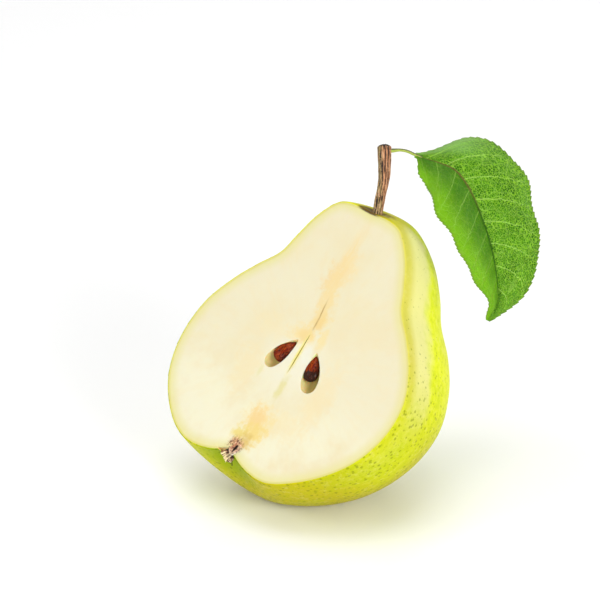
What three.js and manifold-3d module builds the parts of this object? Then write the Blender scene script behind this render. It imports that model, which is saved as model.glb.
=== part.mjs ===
// Half of a large, squat pear, cut lengthwise just in front of its stem, with the stem, one leaf on its
// stalk, two seeds in their hollows and the dried calyx. Millimetres and degrees, +Z up.
// The origin is the centre of the small flat spot that the half rests on.
import * as THREE from 'three';
import { mergeVertices } from 'three/addons/utils/BufferGeometryUtils.js';
import Module from 'manifold-3d';

const wasm = await Module();
wasm.setup();

// --- Driving dimensions -----------------------------------------------------------------------------
const GAP = 0.3; // clearance between neighbouring pieces

// The fruit stands on its eye end in its own frame: core line up Z, knife in the plane y = 0, and the
// kept half at y > 0. The outline is [radius, height], from the middle of the eye to the stem end.
const FRUIT_OUTLINE = [
  [0, 1.4], [7.7, -2.1], [17.1, -2.6], [27.6, 3.0], [37.0, 13.0], [41.6, 24.8], [41.6, 36.8], [37.5, 46.7],
  [32.2, 54.3], [26.5, 60.9], [23.5, 67.3], [18.8, 75.8], [12.2, 82.7], [5.9, 84.1], [0, 83.6],
];
const FRUIT_HEIGHT = 84;
const OUTLINE_STEPS = 38;
const CORE_BEHIND_KNIFE = 2.0; // depth of the core line at both ends
const BACK_BOW = 8.2; // how far the core line bows to the back
const NECK_BACK = 2.2; // and how far the neck swings back against the belly
const SIDE_BOW = 4.3; // how far it bows sideways
const DEPTH_RATIO = 1.09; // depth of the fruit against its width
const WAIST_HEIGHT = 36; // the back grows up above this height and down below it
const SHOULDER_RISE = 0.22; // growth of the upper back, for each 30 mm of depth
const BELLY_DROP = 0.14; // growth of the lower back
const GROWTH_DEPTH = 30;

// How the half lies: turned about its own core line, nodded back, leaned right, then tipped back.
const TURN = 35.2;
const NOD = 4.6;
const LEAN = 30.8;
const TIP_BACK = 20;
const PIVOT_HEIGHT = 42; // the point of the core line about which it is turned
const FLAT_DEPTH = 2.2; // how much the resting spot takes off the round skin

// Seeds and their hollows, [x, z] on the knife face.
const SEED = { length: 8.2, thickness: 0.62, behind: 1.0 };
const HOLLOW_DEPTH = 1.42; // against its half-width
const SEEDS = [ // lean is that of the seed's tip towards +X
  {
    side: 'left', base: [-3.5, 31.4], lean: 27, radius: 2.62,
    hollow: { base: [-4.8, 28.4], tip: [1.1, 39.6], radius: 2.75 },
  },
  {
    side: 'right', base: [11.4, 30.0], lean: -17, radius: 2.48,
    hollow: { base: [13.5, 26.5], tip: [9.3, 38.6], radius: 2.95 },
  },
];
const SLIT = { x: 3.75, z: 35.9, halfWidth: 0.4, depth: 0.9, halfLength: 6.8 };

// Stem, stalk and leaf: [right, away, up] from the pivot, in the frame that is tipped back.
const STEM_LINE = [
  [22.7, 5.4, 32.8], [23.4, 5.2, 36.5], [24.3, 5.0, 41.0], [25.2, 5.0, 45.5], [25.4, 5.0, 50.0],
  [25.4, 5.0, 56.4],
];
const STEM = {
  foot: 1.5, middle: 1.45, top: 2.0, // radii
  flareStart: 0.35, flareEnd: 0.95, // shares of its length
  ridge: 0.16, ridges: 9, twist: 50,
  sides: 27, rings: 16,
};
const STALK_LINE = [
  [28.1, 4.9, 54.4], [30.1, 4.6, 54.5], [32.2, 4.0, 54.1], [34.1, 3.3, 53.2],
];
const STALK = { radius: 0.55, sides: 12, rings: 16 };
const MIDRIB_LINE = [
  [34.5, 3.1, 52.9], [38.0, 1.6, 51.7], [41.9, 0.2, 50.3], [46.3, -1.2, 48.0], [50.2, -1.8, 42.9],
  [53.8, -1.6, 34.8], [56.8, -0.8, 25.8], [58.9, 0.4, 14.5], [58.7, 1.2, 8.4], [56.2, 2.0, 3.2],
];
const LEAF = {
  thickness: 0.6, baseWidth: 0.5, tipWidth: 0.35, fullness: 0.8,
  left: { halfWidth: 17.4, bulge: 0.88, shoulder: 0.08 },
  right: { halfWidth: 21.1, bulge: 0.76, shoulder: 0.16 },
  ruffle: 0.05, ruffles: 2.5, crest: 0.34, // how its width swells and shrinks, widest at the crest
  point: 0.4, pointStart: 0.84, // how much slimmer the tip runs out
  turn: 40, foldAtBase: -5, foldAtTip: 21, easing: 0.09, belly: 1.1, wave: 0.5, waves: 5,
  teeth: 40, toothDepth: 0.55, columns: 4,
};

// Calyx: a plug in the eye, with the dried sepals that the knife left, in the eye's own frame: the middle
// of the eye is at 0, and it opens down Z.
const EYE = { place: [0.9, 0.8, 0.9], tilt: 30 }; // the tilt turns its opening towards -X
const EYE_FUNNEL = [[0, -3.4], [4.0, -3.4], [2.2, -0.4], [0, -0.4]]; // [radius, height]
const PLUG = { radius: 1.9, bottom: -1.0, rounding: 0.7, top: 2.5 };
const SEPAL = {
  length: 4.3, width: 1.9, thickness: 0.6, turns: [14, 62, 118, 166],
  root: 0.5, top: -0.9, // where it leaves the plug
  reach: 0.82, splay: 1.9, curl: 0.2, cup: 0.5, taper: 0.72,
};
const STAMEN = {
  root: 0.36, tip: 0.28, length: 2.4, top: -0.7,
  places: [[-0.8, 0.3], [0.1, 0.6], [0.9, 0.2], [0.2, 1.1]],
};

// Steps round each turned shape.
const SIDES = { fruit: 64, hollow: 28, seed: 20, slit: 16, eye: 20, stamen: 7 };

// --- Materials --------------------------------------------------------------------------------------
const paint = (color, roughness) => new THREE.MeshStandardMaterial({ color, roughness, metalness: 0 });
const MATERIALS = {
  fruit: paint(0xf1e9c8, 0.55),
  bark: paint(0x8a6448, 0.85),
  stalk: paint(0x9fb53a, 0.5),
  leaf: paint(0x4f9c1e, 0.5),
  seed: paint(0x5a2415, 0.25),
  calyx: paint(0x5b4636, 0.9),
};

// --- Helpers ----------------------------------------------------------------------------------------
const radians = THREE.MathUtils.degToRad;
const vector = (point) => new THREE.Vector3(...point);
const curve = (points) => new THREE.CatmullRomCurve3(points.map(vector), false, 'centripetal');

/** Moves every vertex of a geometry by a function of its place. */
function reshape(geometry, move) {
  const place = geometry.attributes.position;
  const point = new THREE.Vector3();
  for (let i = 0; i < place.count; i += 1) {
    move(point.fromBufferAttribute(place, i));
    place.setXYZ(i, point.x, point.y, point.z);
  }
  return geometry;
}

/** Turns a closed geometry into a solid: shared vertices merged, empty triangles dropped. */
function toSolid(geometry) {
  const bare = geometry.clone();
  bare.deleteAttribute('normal');
  bare.deleteAttribute('uv');
  const merged = mergeVertices(bare, 1e-4);
  const corners = Array.from(merged.index.array);
  const kept = [];
  for (let i = 0; i < corners.length; i += 3) {
    const [a, b, c] = corners.slice(i, i + 3);
    if (a !== b && b !== c && c !== a) kept.push(a, b, c);
  }
  const vertProperties = new Float32Array(merged.attributes.position.array);
  return new wasm.Manifold(new wasm.Mesh({ numProp: 3, vertProperties, triVerts: new Uint32Array(kept) }));
}

/** Turns a solid back into a geometry. */
function toGeometry(solid) {
  const mesh = solid.getMesh();
  const geometry = new THREE.BufferGeometry();
  geometry.setAttribute('position', new THREE.BufferAttribute(mesh.vertProperties, 3));
  geometry.setIndex(new THREE.BufferAttribute(mesh.triVerts, 1));
  geometry.computeVertexNormals();
  return geometry;
}

/** A solid turned about its middle ring from a profile of [radius, height] points along +Z. */
function turned(points, sides) {
  const profile = points.map(([radius, height]) => new THREE.Vector2(radius, height));
  return new THREE.LatheGeometry(profile, sides).rotateX(Math.PI / 2);
}

/** A block that covers everything on one side of the plane y = 0 (in front) or z = 0 (below). */
function halfSpace(axis) {
  const size = 400;
  const block = new THREE.BoxGeometry(size, size, size);
  return axis === 'y' ? block.translate(0, -size / 2, 0) : block.translate(0, 0, -size / 2);
}

// --- Fruit ------------------------------------------------------------------------------------------
/** Bows the core line and grows the back of a round fruit, so that it is lopsided as it grew. */
function growFruit(point) {
  const share = THREE.MathUtils.clamp(point.z / FRUIT_HEIGHT, 0, 1);
  const bow = Math.sin(Math.PI * share);
  const depth = CORE_BEHIND_KNIFE + BACK_BOW * bow - NECK_BACK * Math.sin(2 * Math.PI * share);
  point.x += SIDE_BOW * bow;
  point.y = depth + DEPTH_RATIO * point.y;
  const growth = point.z > WAIST_HEIGHT ? SHOULDER_RISE : BELLY_DROP;
  const behind = Math.max(point.y, 0) / GROWTH_DEPTH;
  point.z = WAIST_HEIGHT + (point.z - WAIST_HEIGHT) * (1 + growth * behind);
}

function wholeFruit() {
  const outline = curve(FRUIT_OUTLINE.map(([radius, height]) => [radius, 0, height]));
  const points = outline.getPoints(OUTLINE_STEPS).map((point) => [Math.max(point.x, 0), point.z]);
  points[0][0] = 0;
  points[points.length - 1][0] = 0;
  return toSolid(reshape(turned(points, SIDES.fruit), growFruit));
}

/** A teardrop with its round end at z = 0 and its tip at z = 1, radius 1 at its widest. */
const TEARDROP = [
  [0, 0], [0.45, 0.03], [0.79, 0.11], [0.96, 0.23], [1, 0.36], [0.9, 0.54], [0.65, 0.72], [0.36, 0.88],
  [0.14, 0.97], [0, 1],
];

function teardrop(radius, length, flatness, sides) {
  return turned(TEARDROP, sides).scale(radius, radius * flatness, length);
}

/** Turns a teardrop in the knife's plane by an angle, and sets its round end down at [x, z]. */
function lay(geometry, angle, [x, z], depth) {
  return geometry.rotateY(angle).translate(x, depth, z);
}

function seedHollow({ base, tip, radius }) {
  const [dx, dz] = [tip[0] - base[0], tip[1] - base[1]];
  const shape = teardrop(radius, Math.hypot(dx, dz), HOLLOW_DEPTH, SIDES.hollow);
  return toSolid(lay(shape, Math.atan2(dx, dz), base, 0));
}

function seedShape({ base, lean, radius }, grow = 0) {
  const shape = teardrop(radius + grow, SEED.length + 2 * grow, SEED.thickness, SIDES.seed);
  shape.translate(0, 0, -grow);
  return toSolid(lay(shape, radians(lean), base, SEED.behind));
}

function slitShape() {
  const spindle = new THREE.SphereGeometry(1, SIDES.slit, SIDES.slit);
  return toSolid(spindle.scale(SLIT.halfWidth, SLIT.depth, SLIT.halfLength).translate(SLIT.x, 0, SLIT.z));
}

/** Moves a shape from about the eye to the fruit's own frame. */
function intoEye(geometry) {
  return toSolid(geometry.rotateY(radians(EYE.tilt)).translate(...EYE.place));
}

// --- Calyx ------------------------------------------------------------------------------------------
function plug(grow) {
  const { bottom, rounding } = PLUG;
  const [radius, top] = [PLUG.radius + grow, PLUG.top + grow];
  const rounded = [[radius - rounding, bottom], [radius, bottom + rounding]];
  return intoEye(turned([[0, bottom], ...rounded, [radius, top], [0, top]], SIDES.eye));
}

/** One dried sepal: a tapered blade that leaves the eye, splays out and curls at its tip. */
function sepal(turn, grow) {
  const { length, width, thickness, root, top, reach, splay, curl, cup, taper } = SEPAL;
  const blade = new THREE.BoxGeometry(length + grow, width + 2 * grow, thickness + 2 * grow, 8, 2, 1);
  reshape(blade, (point) => {
    const along = point.x / length + 0.5;
    const narrowed = 1 - taper * Math.max(along, 0) ** 1.4;
    const height = top - splay * along + curl * along ** 3 - cup * (2 * point.y / width) ** 2;
    point.set(root + reach * length * along, point.y * narrowed, point.z + height);
  });
  return intoEye(blade.rotateZ(radians(turn)));
}

function stamen([x, y]) {
  const { root, tip, length, top } = STAMEN;
  const rod = new THREE.CylinderGeometry(root, tip, length, SIDES.stamen).rotateX(Math.PI / 2);
  return intoEye(rod.translate(x, y, top - length / 2));
}

/** Plug, sepals and stamens in one solid, grown all round when it cuts its own pocket in the fruit. */
function calyxSolid(grow = 0) {
  let solid = plug(grow);
  for (const turn of SEPAL.turns) solid = solid.add(sepal(turn, grow));
  for (const place of STAMEN.places) solid = solid.add(stamen(place));
  return solid.subtract(toSolid(halfSpace('y').translate(0, GAP - grow, 0)));
}

// --- Stem and stalk ---------------------------------------------------------------------------------
/** An upright round bar of radius 1 that stands on z = 0 and is 1 high. */
function uprightBar(sides, rings) {
  return new THREE.CylinderGeometry(1, 1, 1, sides, rings).rotateX(Math.PI / 2).translate(0, 0, 0.5);
}

/** Bends a straight upright bar of height 1 along a line, keeping its section square to the line. */
function bendAlong(geometry, line) {
  const path = curve(line);
  return reshape(geometry, (point) => {
    const along = THREE.MathUtils.clamp(point.z, 0, 1);
    const up = path.getTangentAt(along);
    const right = new THREE.Vector3(0, 1, 0).cross(up).normalize();
    const away = up.clone().cross(right);
    point.copy(path.getPointAt(along).addScaledVector(right, point.x).addScaledVector(away, point.y));
  });
}

/** Thickness of the stem at a share of its length: full at the foot, slim, then flared and blunt. */
function stemRadius(along) {
  const foot = (STEM.foot - STEM.middle) * (1 - along) ** 3;
  const flare = THREE.MathUtils.smoothstep(along, STEM.flareStart, STEM.flareEnd);
  return STEM.middle + foot + (STEM.top - STEM.middle) * flare;
}

function stemGeometry(grow = 0) {
  const bar = reshape(uprightBar(STEM.sides, STEM.rings), (point) => {
    const angle = Math.atan2(point.y, point.x);
    const ridge = Math.cos(STEM.ridges * angle + radians(STEM.twist) * STEM.ridges * point.z);
    const size = Math.hypot(point.x, point.y) * (stemRadius(point.z) + grow + STEM.ridge * ridge);
    point.x = size * Math.cos(angle);
    point.y = size * Math.sin(angle);
  });
  return bendAlong(bar, STEM_LINE);
}

function stalkGeometry() {
  const bar = uprightBar(STALK.sides, STALK.rings).scale(STALK.radius, STALK.radius, 1);
  return bendAlong(bar, STALK_LINE);
}

// --- Leaf -------------------------------------------------------------------------------------------
/** Half the width of the blade at a share of its length, with forward-pointing teeth on its edge. */
function bladeWidth(along, station, across) {
  const { halfWidth, bulge, shoulder } = across < 0 ? LEAF.left : LEAF.right;
  const round = Math.max(Math.sin(Math.PI * along ** bulge), 0) ** LEAF.fullness;
  const swell = 1 + LEAF.ruffle * Math.cos(2 * Math.PI * LEAF.ruffles * (along - LEAF.crest));
  const slimmed = 1 - LEAF.point * THREE.MathUtils.smoothstep(along, LEAF.pointStart, 1);
  const outline = round * swell * slimmed * THREE.MathUtils.smoothstep(along, -0.1 * shoulder, shoulder);
  const tooth = station % 2 ? LEAF.toothDepth * Math.min(1, 6 * outline) : 0;
  const least = THREE.MathUtils.lerp(LEAF.baseWidth, LEAF.tipWidth, along);
  return least + (halfWidth - least) * outline + tooth;
}

/** Direction of the midrib, averaged over a short stretch so that the blade turns evenly with it. */
function easyTangent(path, along) {
  const ahead = path.getPointAt(Math.min(1, along + LEAF.easing));
  return ahead.sub(path.getPointAt(Math.max(0, along - LEAF.easing))).normalize();
}

/** A point on the blade: station counts along the midrib, across goes from -1 (left) to 1 (right). */
function bladePoint(path, station, across, lift) {
  const along = station / (2 * LEAF.teeth);
  const line = easyTangent(path, along);
  const right = new THREE.Vector3(0, -1, 0).cross(line).normalize();
  const out = line.clone().cross(right);
  const fold = THREE.MathUtils.lerp(LEAF.foldAtBase, LEAF.foldAtTip, along);
  const tilt = radians(LEAF.turn - Math.sign(across) * fold);
  const side = right.clone().multiplyScalar(Math.cos(tilt)).addScaledVector(out, -Math.sin(tilt));
  const face = right.clone().multiplyScalar(Math.sin(tilt)).addScaledVector(out, Math.cos(tilt));
  const reach = Math.abs(across);
  const crown = LEAF.belly * Math.sin(Math.PI * reach) * Math.sin(Math.PI * along);
  const ripple = LEAF.wave * reach ** 2 * Math.sin(2 * Math.PI * LEAF.waves * along + across);
  return path.getPointAt(along)
    .addScaledVector(side, across * bladeWidth(along, reach === 1 ? station : 0, across))
    .addScaledVector(face, crown + ripple + lift);
}

/** The blade as one closed sheet, split into triangles alike on both faces. */
function leafGeometry() {
  const path = curve(MIDRIB_LINE);
  const stations = 2 * LEAF.teeth;
  const columns = 2 * LEAF.columns;
  const places = [];
  for (const lift of [LEAF.thickness / 2, -LEAF.thickness / 2]) {
    for (let row = 0; row <= stations; row += 1) {
      for (let column = 0; column <= columns; column += 1) {
        places.push(...bladePoint(path, row, column / LEAF.columns - 1, lift).toArray());
      }
    }
  }
  const at = (row, column, layer) => (layer * (stations + 1) + row) * (columns + 1) + column;
  const corners = [];
  const quad = (a, b, c, d) => corners.push(a, b, c, a, c, d);
  for (let row = 0; row < stations; row += 1) {
    for (let column = 0; column < columns; column += 1) {
      quad(at(row, column, 0), at(row + 1, column, 0), at(row + 1, column + 1, 0), at(row, column + 1, 0));
      const [a, b] = [at(row, column, 1), at(row + 1, column, 1)];
      const [c, d] = [at(row + 1, column + 1, 1), at(row, column + 1, 1)];
      corners.push(a, c, b, a, d, c);
    }
    quad(at(row, 0, 0), at(row, 0, 1), at(row + 1, 0, 1), at(row + 1, 0, 0));
    quad(at(row + 1, columns, 0), at(row + 1, columns, 1), at(row, columns, 1), at(row, columns, 0));
  }
  for (let column = 0; column < columns; column += 1) {
    const next = column + 1;
    quad(at(0, next, 0), at(0, next, 1), at(0, column, 1), at(0, column, 0));
    quad(at(stations, column, 0), at(stations, column, 1), at(stations, next, 1), at(stations, next, 0));
  }
  const geometry = new THREE.BufferGeometry();
  geometry.setAttribute('position', new THREE.Float32BufferAttribute(places, 3));
  geometry.setIndex(corners);
  geometry.computeVertexNormals();
  return geometry;
}

// --- Assembly ---------------------------------------------------------------------------------------
/** Nested groups that lay the fruit's own frame down: tip back, lean, nod, turn, lower to the pivot. */
function layingGroups() {
  const tipped = new THREE.Group();
  const leaned = new THREE.Group();
  const nodded = new THREE.Group();
  const turnedGroup = new THREE.Group();
  const fruitFrame = new THREE.Group();
  tipped.rotation.x = -radians(TIP_BACK);
  leaned.rotation.y = radians(LEAN);
  nodded.rotation.x = -radians(NOD);
  turnedGroup.rotation.z = -radians(TURN);
  fruitFrame.position.z = -PIVOT_HEIGHT;
  tipped.add(leaned);
  leaned.add(nodded);
  nodded.add(turnedGroup);
  turnedGroup.add(fruitFrame);
  tipped.updateMatrixWorld(true);
  return { tipped, fruitFrame };
}

/** The half fruit: the whole shape less the other half, the hollows and the pockets of stem and calyx. */
function halfFruit(tipped, fruitFrame) {
  const intoFruit = fruitFrame.matrixWorld.clone().invert().multiply(tipped.matrixWorld);
  let solid = wholeFruit().subtract(toSolid(halfSpace('y')));
  for (const seed of SEEDS) solid = solid.subtract(seedHollow(seed.hollow)).subtract(seedShape(seed, GAP));
  solid = solid.subtract(slitShape());
  solid = solid.subtract(intoEye(turned(EYE_FUNNEL, SIDES.eye)));
  solid = solid.subtract(calyxSolid(GAP));
  return solid.subtract(toSolid(stemGeometry(GAP).applyMatrix4(intoFruit)));
}

/** Height of the lowest point of a geometry once it is laid down by a matrix. */
function lowestPoint(geometry, matrix) {
  const laid = geometry.clone().applyMatrix4(matrix);
  laid.computeBoundingBox();
  return laid.boundingBox.min.z;
}

/** Middle of the flat spot: the vertices that lie at the spot's height. */
function flatMiddle(geometry, matrix, height) {
  const spot = new THREE.Box3();
  reshape(geometry.clone().applyMatrix4(matrix), (point) => {
    if (point.z < height + 0.01) spot.expandByPoint(point);
  });
  return spot.getCenter(new THREE.Vector3());
}

function mesh(name, geometry, material) {
  const piece = new THREE.Mesh(geometry, material);
  piece.name = name;
  return piece;
}

const { tipped, fruitFrame } = layingGroups();
const roundHalf = halfFruit(tipped, fruitFrame);
const restHeight = lowestPoint(toGeometry(roundHalf), fruitFrame.matrixWorld) + FLAT_DEPTH;
const intoFruitFrame = fruitFrame.matrixWorld.clone().invert();
const ground = halfSpace('z').translate(0, 0, restHeight).applyMatrix4(intoFruitFrame);
const half = toGeometry(roundHalf.subtract(toSolid(ground)));
const restMiddle = flatMiddle(half, fruitFrame.matrixWorld, restHeight);

fruitFrame.add(mesh('pear_half', half, MATERIALS.fruit));
for (const seed of SEEDS) {
  fruitFrame.add(mesh(`seed_${seed.side}`, toGeometry(seedShape(seed)), MATERIALS.seed));
}
fruitFrame.add(mesh('calyx', toGeometry(calyxSolid()), MATERIALS.calyx));
tipped.add(mesh('stem', toGeometry(toSolid(stemGeometry())), MATERIALS.bark));
tipped.add(mesh('petiole', toGeometry(toSolid(stalkGeometry())), MATERIALS.stalk));
tipped.add(mesh('leaf', toGeometry(toSolid(leafGeometry())), MATERIALS.leaf));

const group = new THREE.Group();
tipped.position.copy(restMiddle).negate();
group.add(tipped);
export default group;
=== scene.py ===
"""Half a pear with its stem, leaf, seeds and calyx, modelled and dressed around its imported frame."""

import logging
import math
from contextlib import contextmanager
from dataclasses import dataclass
from enum import Enum
from typing import Callable, Iterator, Sequence

import bmesh
import bpy
from mathutils import Matrix, Vector, noise
from mathutils.kdtree import KDTree


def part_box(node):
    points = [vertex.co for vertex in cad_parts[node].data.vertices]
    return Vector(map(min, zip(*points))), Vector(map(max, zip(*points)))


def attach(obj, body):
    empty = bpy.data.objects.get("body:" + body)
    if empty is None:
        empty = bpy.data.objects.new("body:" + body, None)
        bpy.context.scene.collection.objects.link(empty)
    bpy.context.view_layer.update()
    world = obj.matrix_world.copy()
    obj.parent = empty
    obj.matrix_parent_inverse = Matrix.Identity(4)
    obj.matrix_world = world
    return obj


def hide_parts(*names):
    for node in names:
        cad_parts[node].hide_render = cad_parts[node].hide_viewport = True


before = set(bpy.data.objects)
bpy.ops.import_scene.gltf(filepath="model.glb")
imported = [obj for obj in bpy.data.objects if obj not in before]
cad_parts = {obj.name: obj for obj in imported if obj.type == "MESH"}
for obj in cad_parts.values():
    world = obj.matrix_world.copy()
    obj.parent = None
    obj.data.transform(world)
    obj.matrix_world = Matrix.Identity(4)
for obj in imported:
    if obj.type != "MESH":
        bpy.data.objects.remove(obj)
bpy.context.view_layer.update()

MM = 0.001  # sizes below are millimetres, and a piece becomes metres when it is laid
ROOT = "root"
KEEP_MATERIAL = -1  # a bevel's new faces take the material beside them
ROUND_PROFILE = 0.5
HALF = 0.5
SEED_LENGTH = 8.2
KNIFE_SLACK = 1e-4  # how near the knife's plane, in millimetres, counts as on it

LOG = logging.getLogger("half_pear")

Colour = tuple[float, float, float, float]
Place = tuple[float, float, float]
Mesh = bmesh.types.BMesh
Piece = bpy.types.Object
Material = bpy.types.Material
Socket = bpy.types.NodeSocket


class Slot(Enum):
    """The record's material slots."""

    PEAR = "pear"
    SEED = "seed"
    CALYX = "calyx"
    BARK = "bark"
    PETIOLE = "petiole"
    LEAF = "leaf"


class Side(Enum):
    """The two sides of a blade, or of the core, as signs across."""

    LEFT = -1
    RIGHT = 1


class Layer(Enum):
    """Vertex attributes that carry a pattern's place on a piece."""

    RIM = "rim"
    BLADE = "blade"
    GROOVE = "groove"
    TONE = "tone"


# --- Sums --------------------------------------------------------------------------------------------
def srgb(red: int, green: int, blue: int) -> Colour:
    """Turns a screen colour into the linear colour that a shader takes.

    Args:
        red: Red, from 0 to 255.
        green: Green, from 0 to 255.
        blue: Blue, from 0 to 255.

    Returns:
        The linear colour, with full alpha.
    """
    shares = [value / 255 for value in (red, green, blue)]
    linear = [share / 12.92 if share <= 0.04045 else ((share + 0.055) / 1.055) ** 2.4 for share in shares]
    return (linear[0], linear[1], linear[2], 1.0)


def smoothstep(value: float, low: float, high: float) -> float:
    """Eases from 0 at low to 1 at high.

    Args:
        value: The number to place between the two ends.
        low: Where the rise starts.
        high: Where it ends.

    Returns:
        A share from 0 to 1.
    """
    share = min(max((value - low) / (high - low), 0.0), 1.0)
    return share * share * (3 - 2 * share)


def mixed(first: float, second: float, share: float) -> float:
    """The number a share of the way from first to second."""
    return first + (second - first) * share


class Line:
    """A smooth line through a few points, read by the share of its length.

    Each stretch between two points is eased by the square root of its length, so the line neither loops
    nor overshoots where points stand close together.
    """

    SAMPLES = 40

    def __init__(self, points: Sequence[Sequence[float]]) -> None:
        """Samples the line and measures it.

        Args:
            points: The points that the line runs through, in order.
        """
        knots = [Vector(point) for point in points]
        ends = [2 * knots[0] - knots[1]], [2 * knots[-1] - knots[-2]]
        self._knots = ends[0] + knots + ends[1]
        self.samples = [
            self._between(stretch, step / self.SAMPLES)
            for stretch in range(len(knots) - 1)
            for step in range(self.SAMPLES)
        ] + [knots[-1]]
        self._reach = [0.0]
        for here, there in zip(self.samples, self.samples[1:]):
            self._reach.append(self._reach[-1] + (there - here).length)

    def _between(self, stretch: int, share: float) -> Vector:
        """The point a share of the way along one stretch.

        Args:
            stretch: The stretch's number.
            share: The share of the way, from 0 to 1.

        Returns:
            The point.
        """
        before, start, end, after = self._knots[stretch : stretch + 4]
        gaps = [max((b - a).length ** 0.5, 1e-6) for a, b in ((before, start), (start, end), (end, after))]
        leave = (start - before) / gaps[0] - (end - before) / (gaps[0] + gaps[1]) + (end - start) / gaps[1]
        arrive = (end - start) / gaps[1] - (after - start) / (gaps[1] + gaps[2]) + (after - end) / gaps[2]
        leave, arrive = leave * gaps[1], arrive * gaps[1]
        square = -3 * start + 3 * end - 2 * leave - arrive
        cube = 2 * start - 2 * end + leave + arrive
        return start + leave * share + square * share**2 + cube * share**3

    def at(self, share: float) -> Vector:
        """The point at a share of the line's length.

        Args:
            share: The share, held between 0 and 1.

        Returns:
            The point.
        """
        wanted = min(max(share, 0.0), 1.0) * self._reach[-1]
        low, high = 0, len(self._reach) - 1
        while high - low > 1:
            middle = (low + high) // 2
            low, high = (middle, high) if self._reach[middle] <= wanted else (low, middle)
        gap = self._reach[high] - self._reach[low]
        return self.samples[low].lerp(self.samples[high], (wanted - self._reach[low]) / gap)

    def along(self, share: float, reach: float = 0.01) -> Vector:
        """The line's direction at a share of its length, averaged over a reach to either side."""
        return (self.at(share + reach) - self.at(share - reach)).normalized()


# --- Frames ------------------------------------------------------------------------------------------
@dataclass
class Laying:
    """How the half fruit lies: turned about its core line, nodded, leaned right, then tipped back."""

    turn: float = 35.2
    nod: float = 4.6
    lean: float = 30.8
    tip_back: float = 20.0
    pivot_height: float = 42.0
    pivot: Vector | None = None

    def tipped(self) -> Matrix:
        """Matrix from the tipped frame, in millimetres about the pivot, to the world, in metres."""
        tip = Matrix.Rotation(-math.radians(self.tip_back), 4, "X")
        return Matrix.Translation(self.pivot or Vector()) @ Matrix.Scale(MM, 4) @ tip

    def fruit(self) -> Matrix:
        """Matrix from the fruit's own frame, in millimetres, to the world, in metres."""
        lean = Matrix.Rotation(math.radians(self.lean), 4, "Y")
        nod = Matrix.Rotation(-math.radians(self.nod), 4, "X")
        turn = Matrix.Rotation(-math.radians(self.turn), 4, "Z")
        down = Matrix.Translation((0, 0, -self.pivot_height))
        return self.tipped() @ lean @ nod @ turn @ down


@dataclass
class FruitForm:
    """The whole fruit's lopsided form, core line up Z and knife in the plane y = 0."""

    outline: tuple[tuple[float, float], ...] = (
        (0, 1.4), (7.7, -2.1), (17.1, -2.6), (27.6, 3.0), (37.0, 13.0), (41.6, 24.8), (41.6, 36.8),
        (37.5, 46.7), (32.2, 54.3), (26.5, 60.9), (23.5, 67.3), (18.8, 75.8), (12.2, 82.7), (5.9, 84.1),
        (0, 83.6),
    )
    height: float = 84.0
    core_behind_knife: float = 2.0
    back_bow: float = 8.2
    neck_back: float = 2.2
    side_bow: float = 4.3
    depth_ratio: float = 1.09
    waist_height: float = 36.0
    shoulder_rise: float = 0.22
    belly_drop: float = 0.14
    growth_depth: float = 30.0

    def grown(self, point: Vector) -> Vector:
        """Bows the core line and grows the back of a point of the round fruit.

        Args:
            point: A point of the fruit as it would be if it were round.

        Returns:
            The same point of the lopsided fruit.
        """
        share = min(max(point.z / self.height, 0.0), 1.0)
        bow = math.sin(math.pi * share)
        back = self.core_behind_knife + self.back_bow * bow - self.neck_back * math.sin(2 * math.pi * share)
        depth = back + self.depth_ratio * point.y
        growth = self.shoulder_rise if point.z > self.waist_height else self.belly_drop
        stretch = 1 + growth * max(depth, 0.0) / self.growth_depth
        height = self.waist_height + (point.z - self.waist_height) * stretch
        return Vector((point.x + self.side_bow * bow, depth, height))


# --- Meshes ------------------------------------------------------------------------------------------
def spaced(outline: Sequence[tuple[float, float]], steps: int) -> list[Vector]:
    """Spaces points evenly along a smooth outline whose two ends lie on the axis.

    Args:
        outline: [radius, height] places that the outline runs through.
        steps: How many stretches it is split into.

    Returns:
        One more point than there are stretches, in the plane y = 0.
    """
    line = Line([(radius, 0, height) for radius, height in outline])
    points = [line.at(step / steps) for step in range(steps + 1)]
    for point in points:
        point.x = max(point.x, 0.0)
    points[0].x = points[-1].x = 0.0
    return points


def settled(mesh: Mesh) -> Mesh:
    """Builds a mesh anew with its faces in the order of its vertices, so that each run is alike.

    Args:
        mesh: The mesh, freed here.

    Returns:
        The new mesh.
    """
    mesh.verts.index_update()
    loops = []
    for face in mesh.faces:
        loop = [vert.index for vert in face.verts]
        first = loop.index(min(loop))
        loops.append(loop[first:] + loop[:first])
    fresh = bmesh.new()
    verts = [fresh.verts.new(vert.co) for vert in mesh.verts]
    for loop in sorted(loops):
        fresh.faces.new([verts[number] for number in loop])
    fresh.normal_update()
    mesh.free()
    return fresh


def spun(points: Sequence[Vector], sides: int) -> Mesh:
    """Spins an outline a full turn about Z into a closed body.

    Args:
        points: The outline in the plane y = 0, starting and ending on the axis.
        sides: How many steps the turn has.

    Returns:
        The new mesh, facing outwards.
    """
    mesh = bmesh.new()
    verts = [mesh.verts.new(point) for point in points]
    edges = [mesh.edges.new(pair) for pair in zip(verts, verts[1:])]
    bmesh.ops.spin(
        mesh, geom=verts + edges, cent=(0, 0, 0), axis=(0, 0, 1), dvec=(0, 0, 0),
        angle=math.tau, steps=sides, use_merge=True, use_duplicate=False,
    )
    bmesh.ops.remove_doubles(mesh, verts=mesh.verts[:], dist=1e-5)
    bmesh.ops.recalc_face_normals(mesh, faces=mesh.faces[:])
    return settled(mesh)


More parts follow.
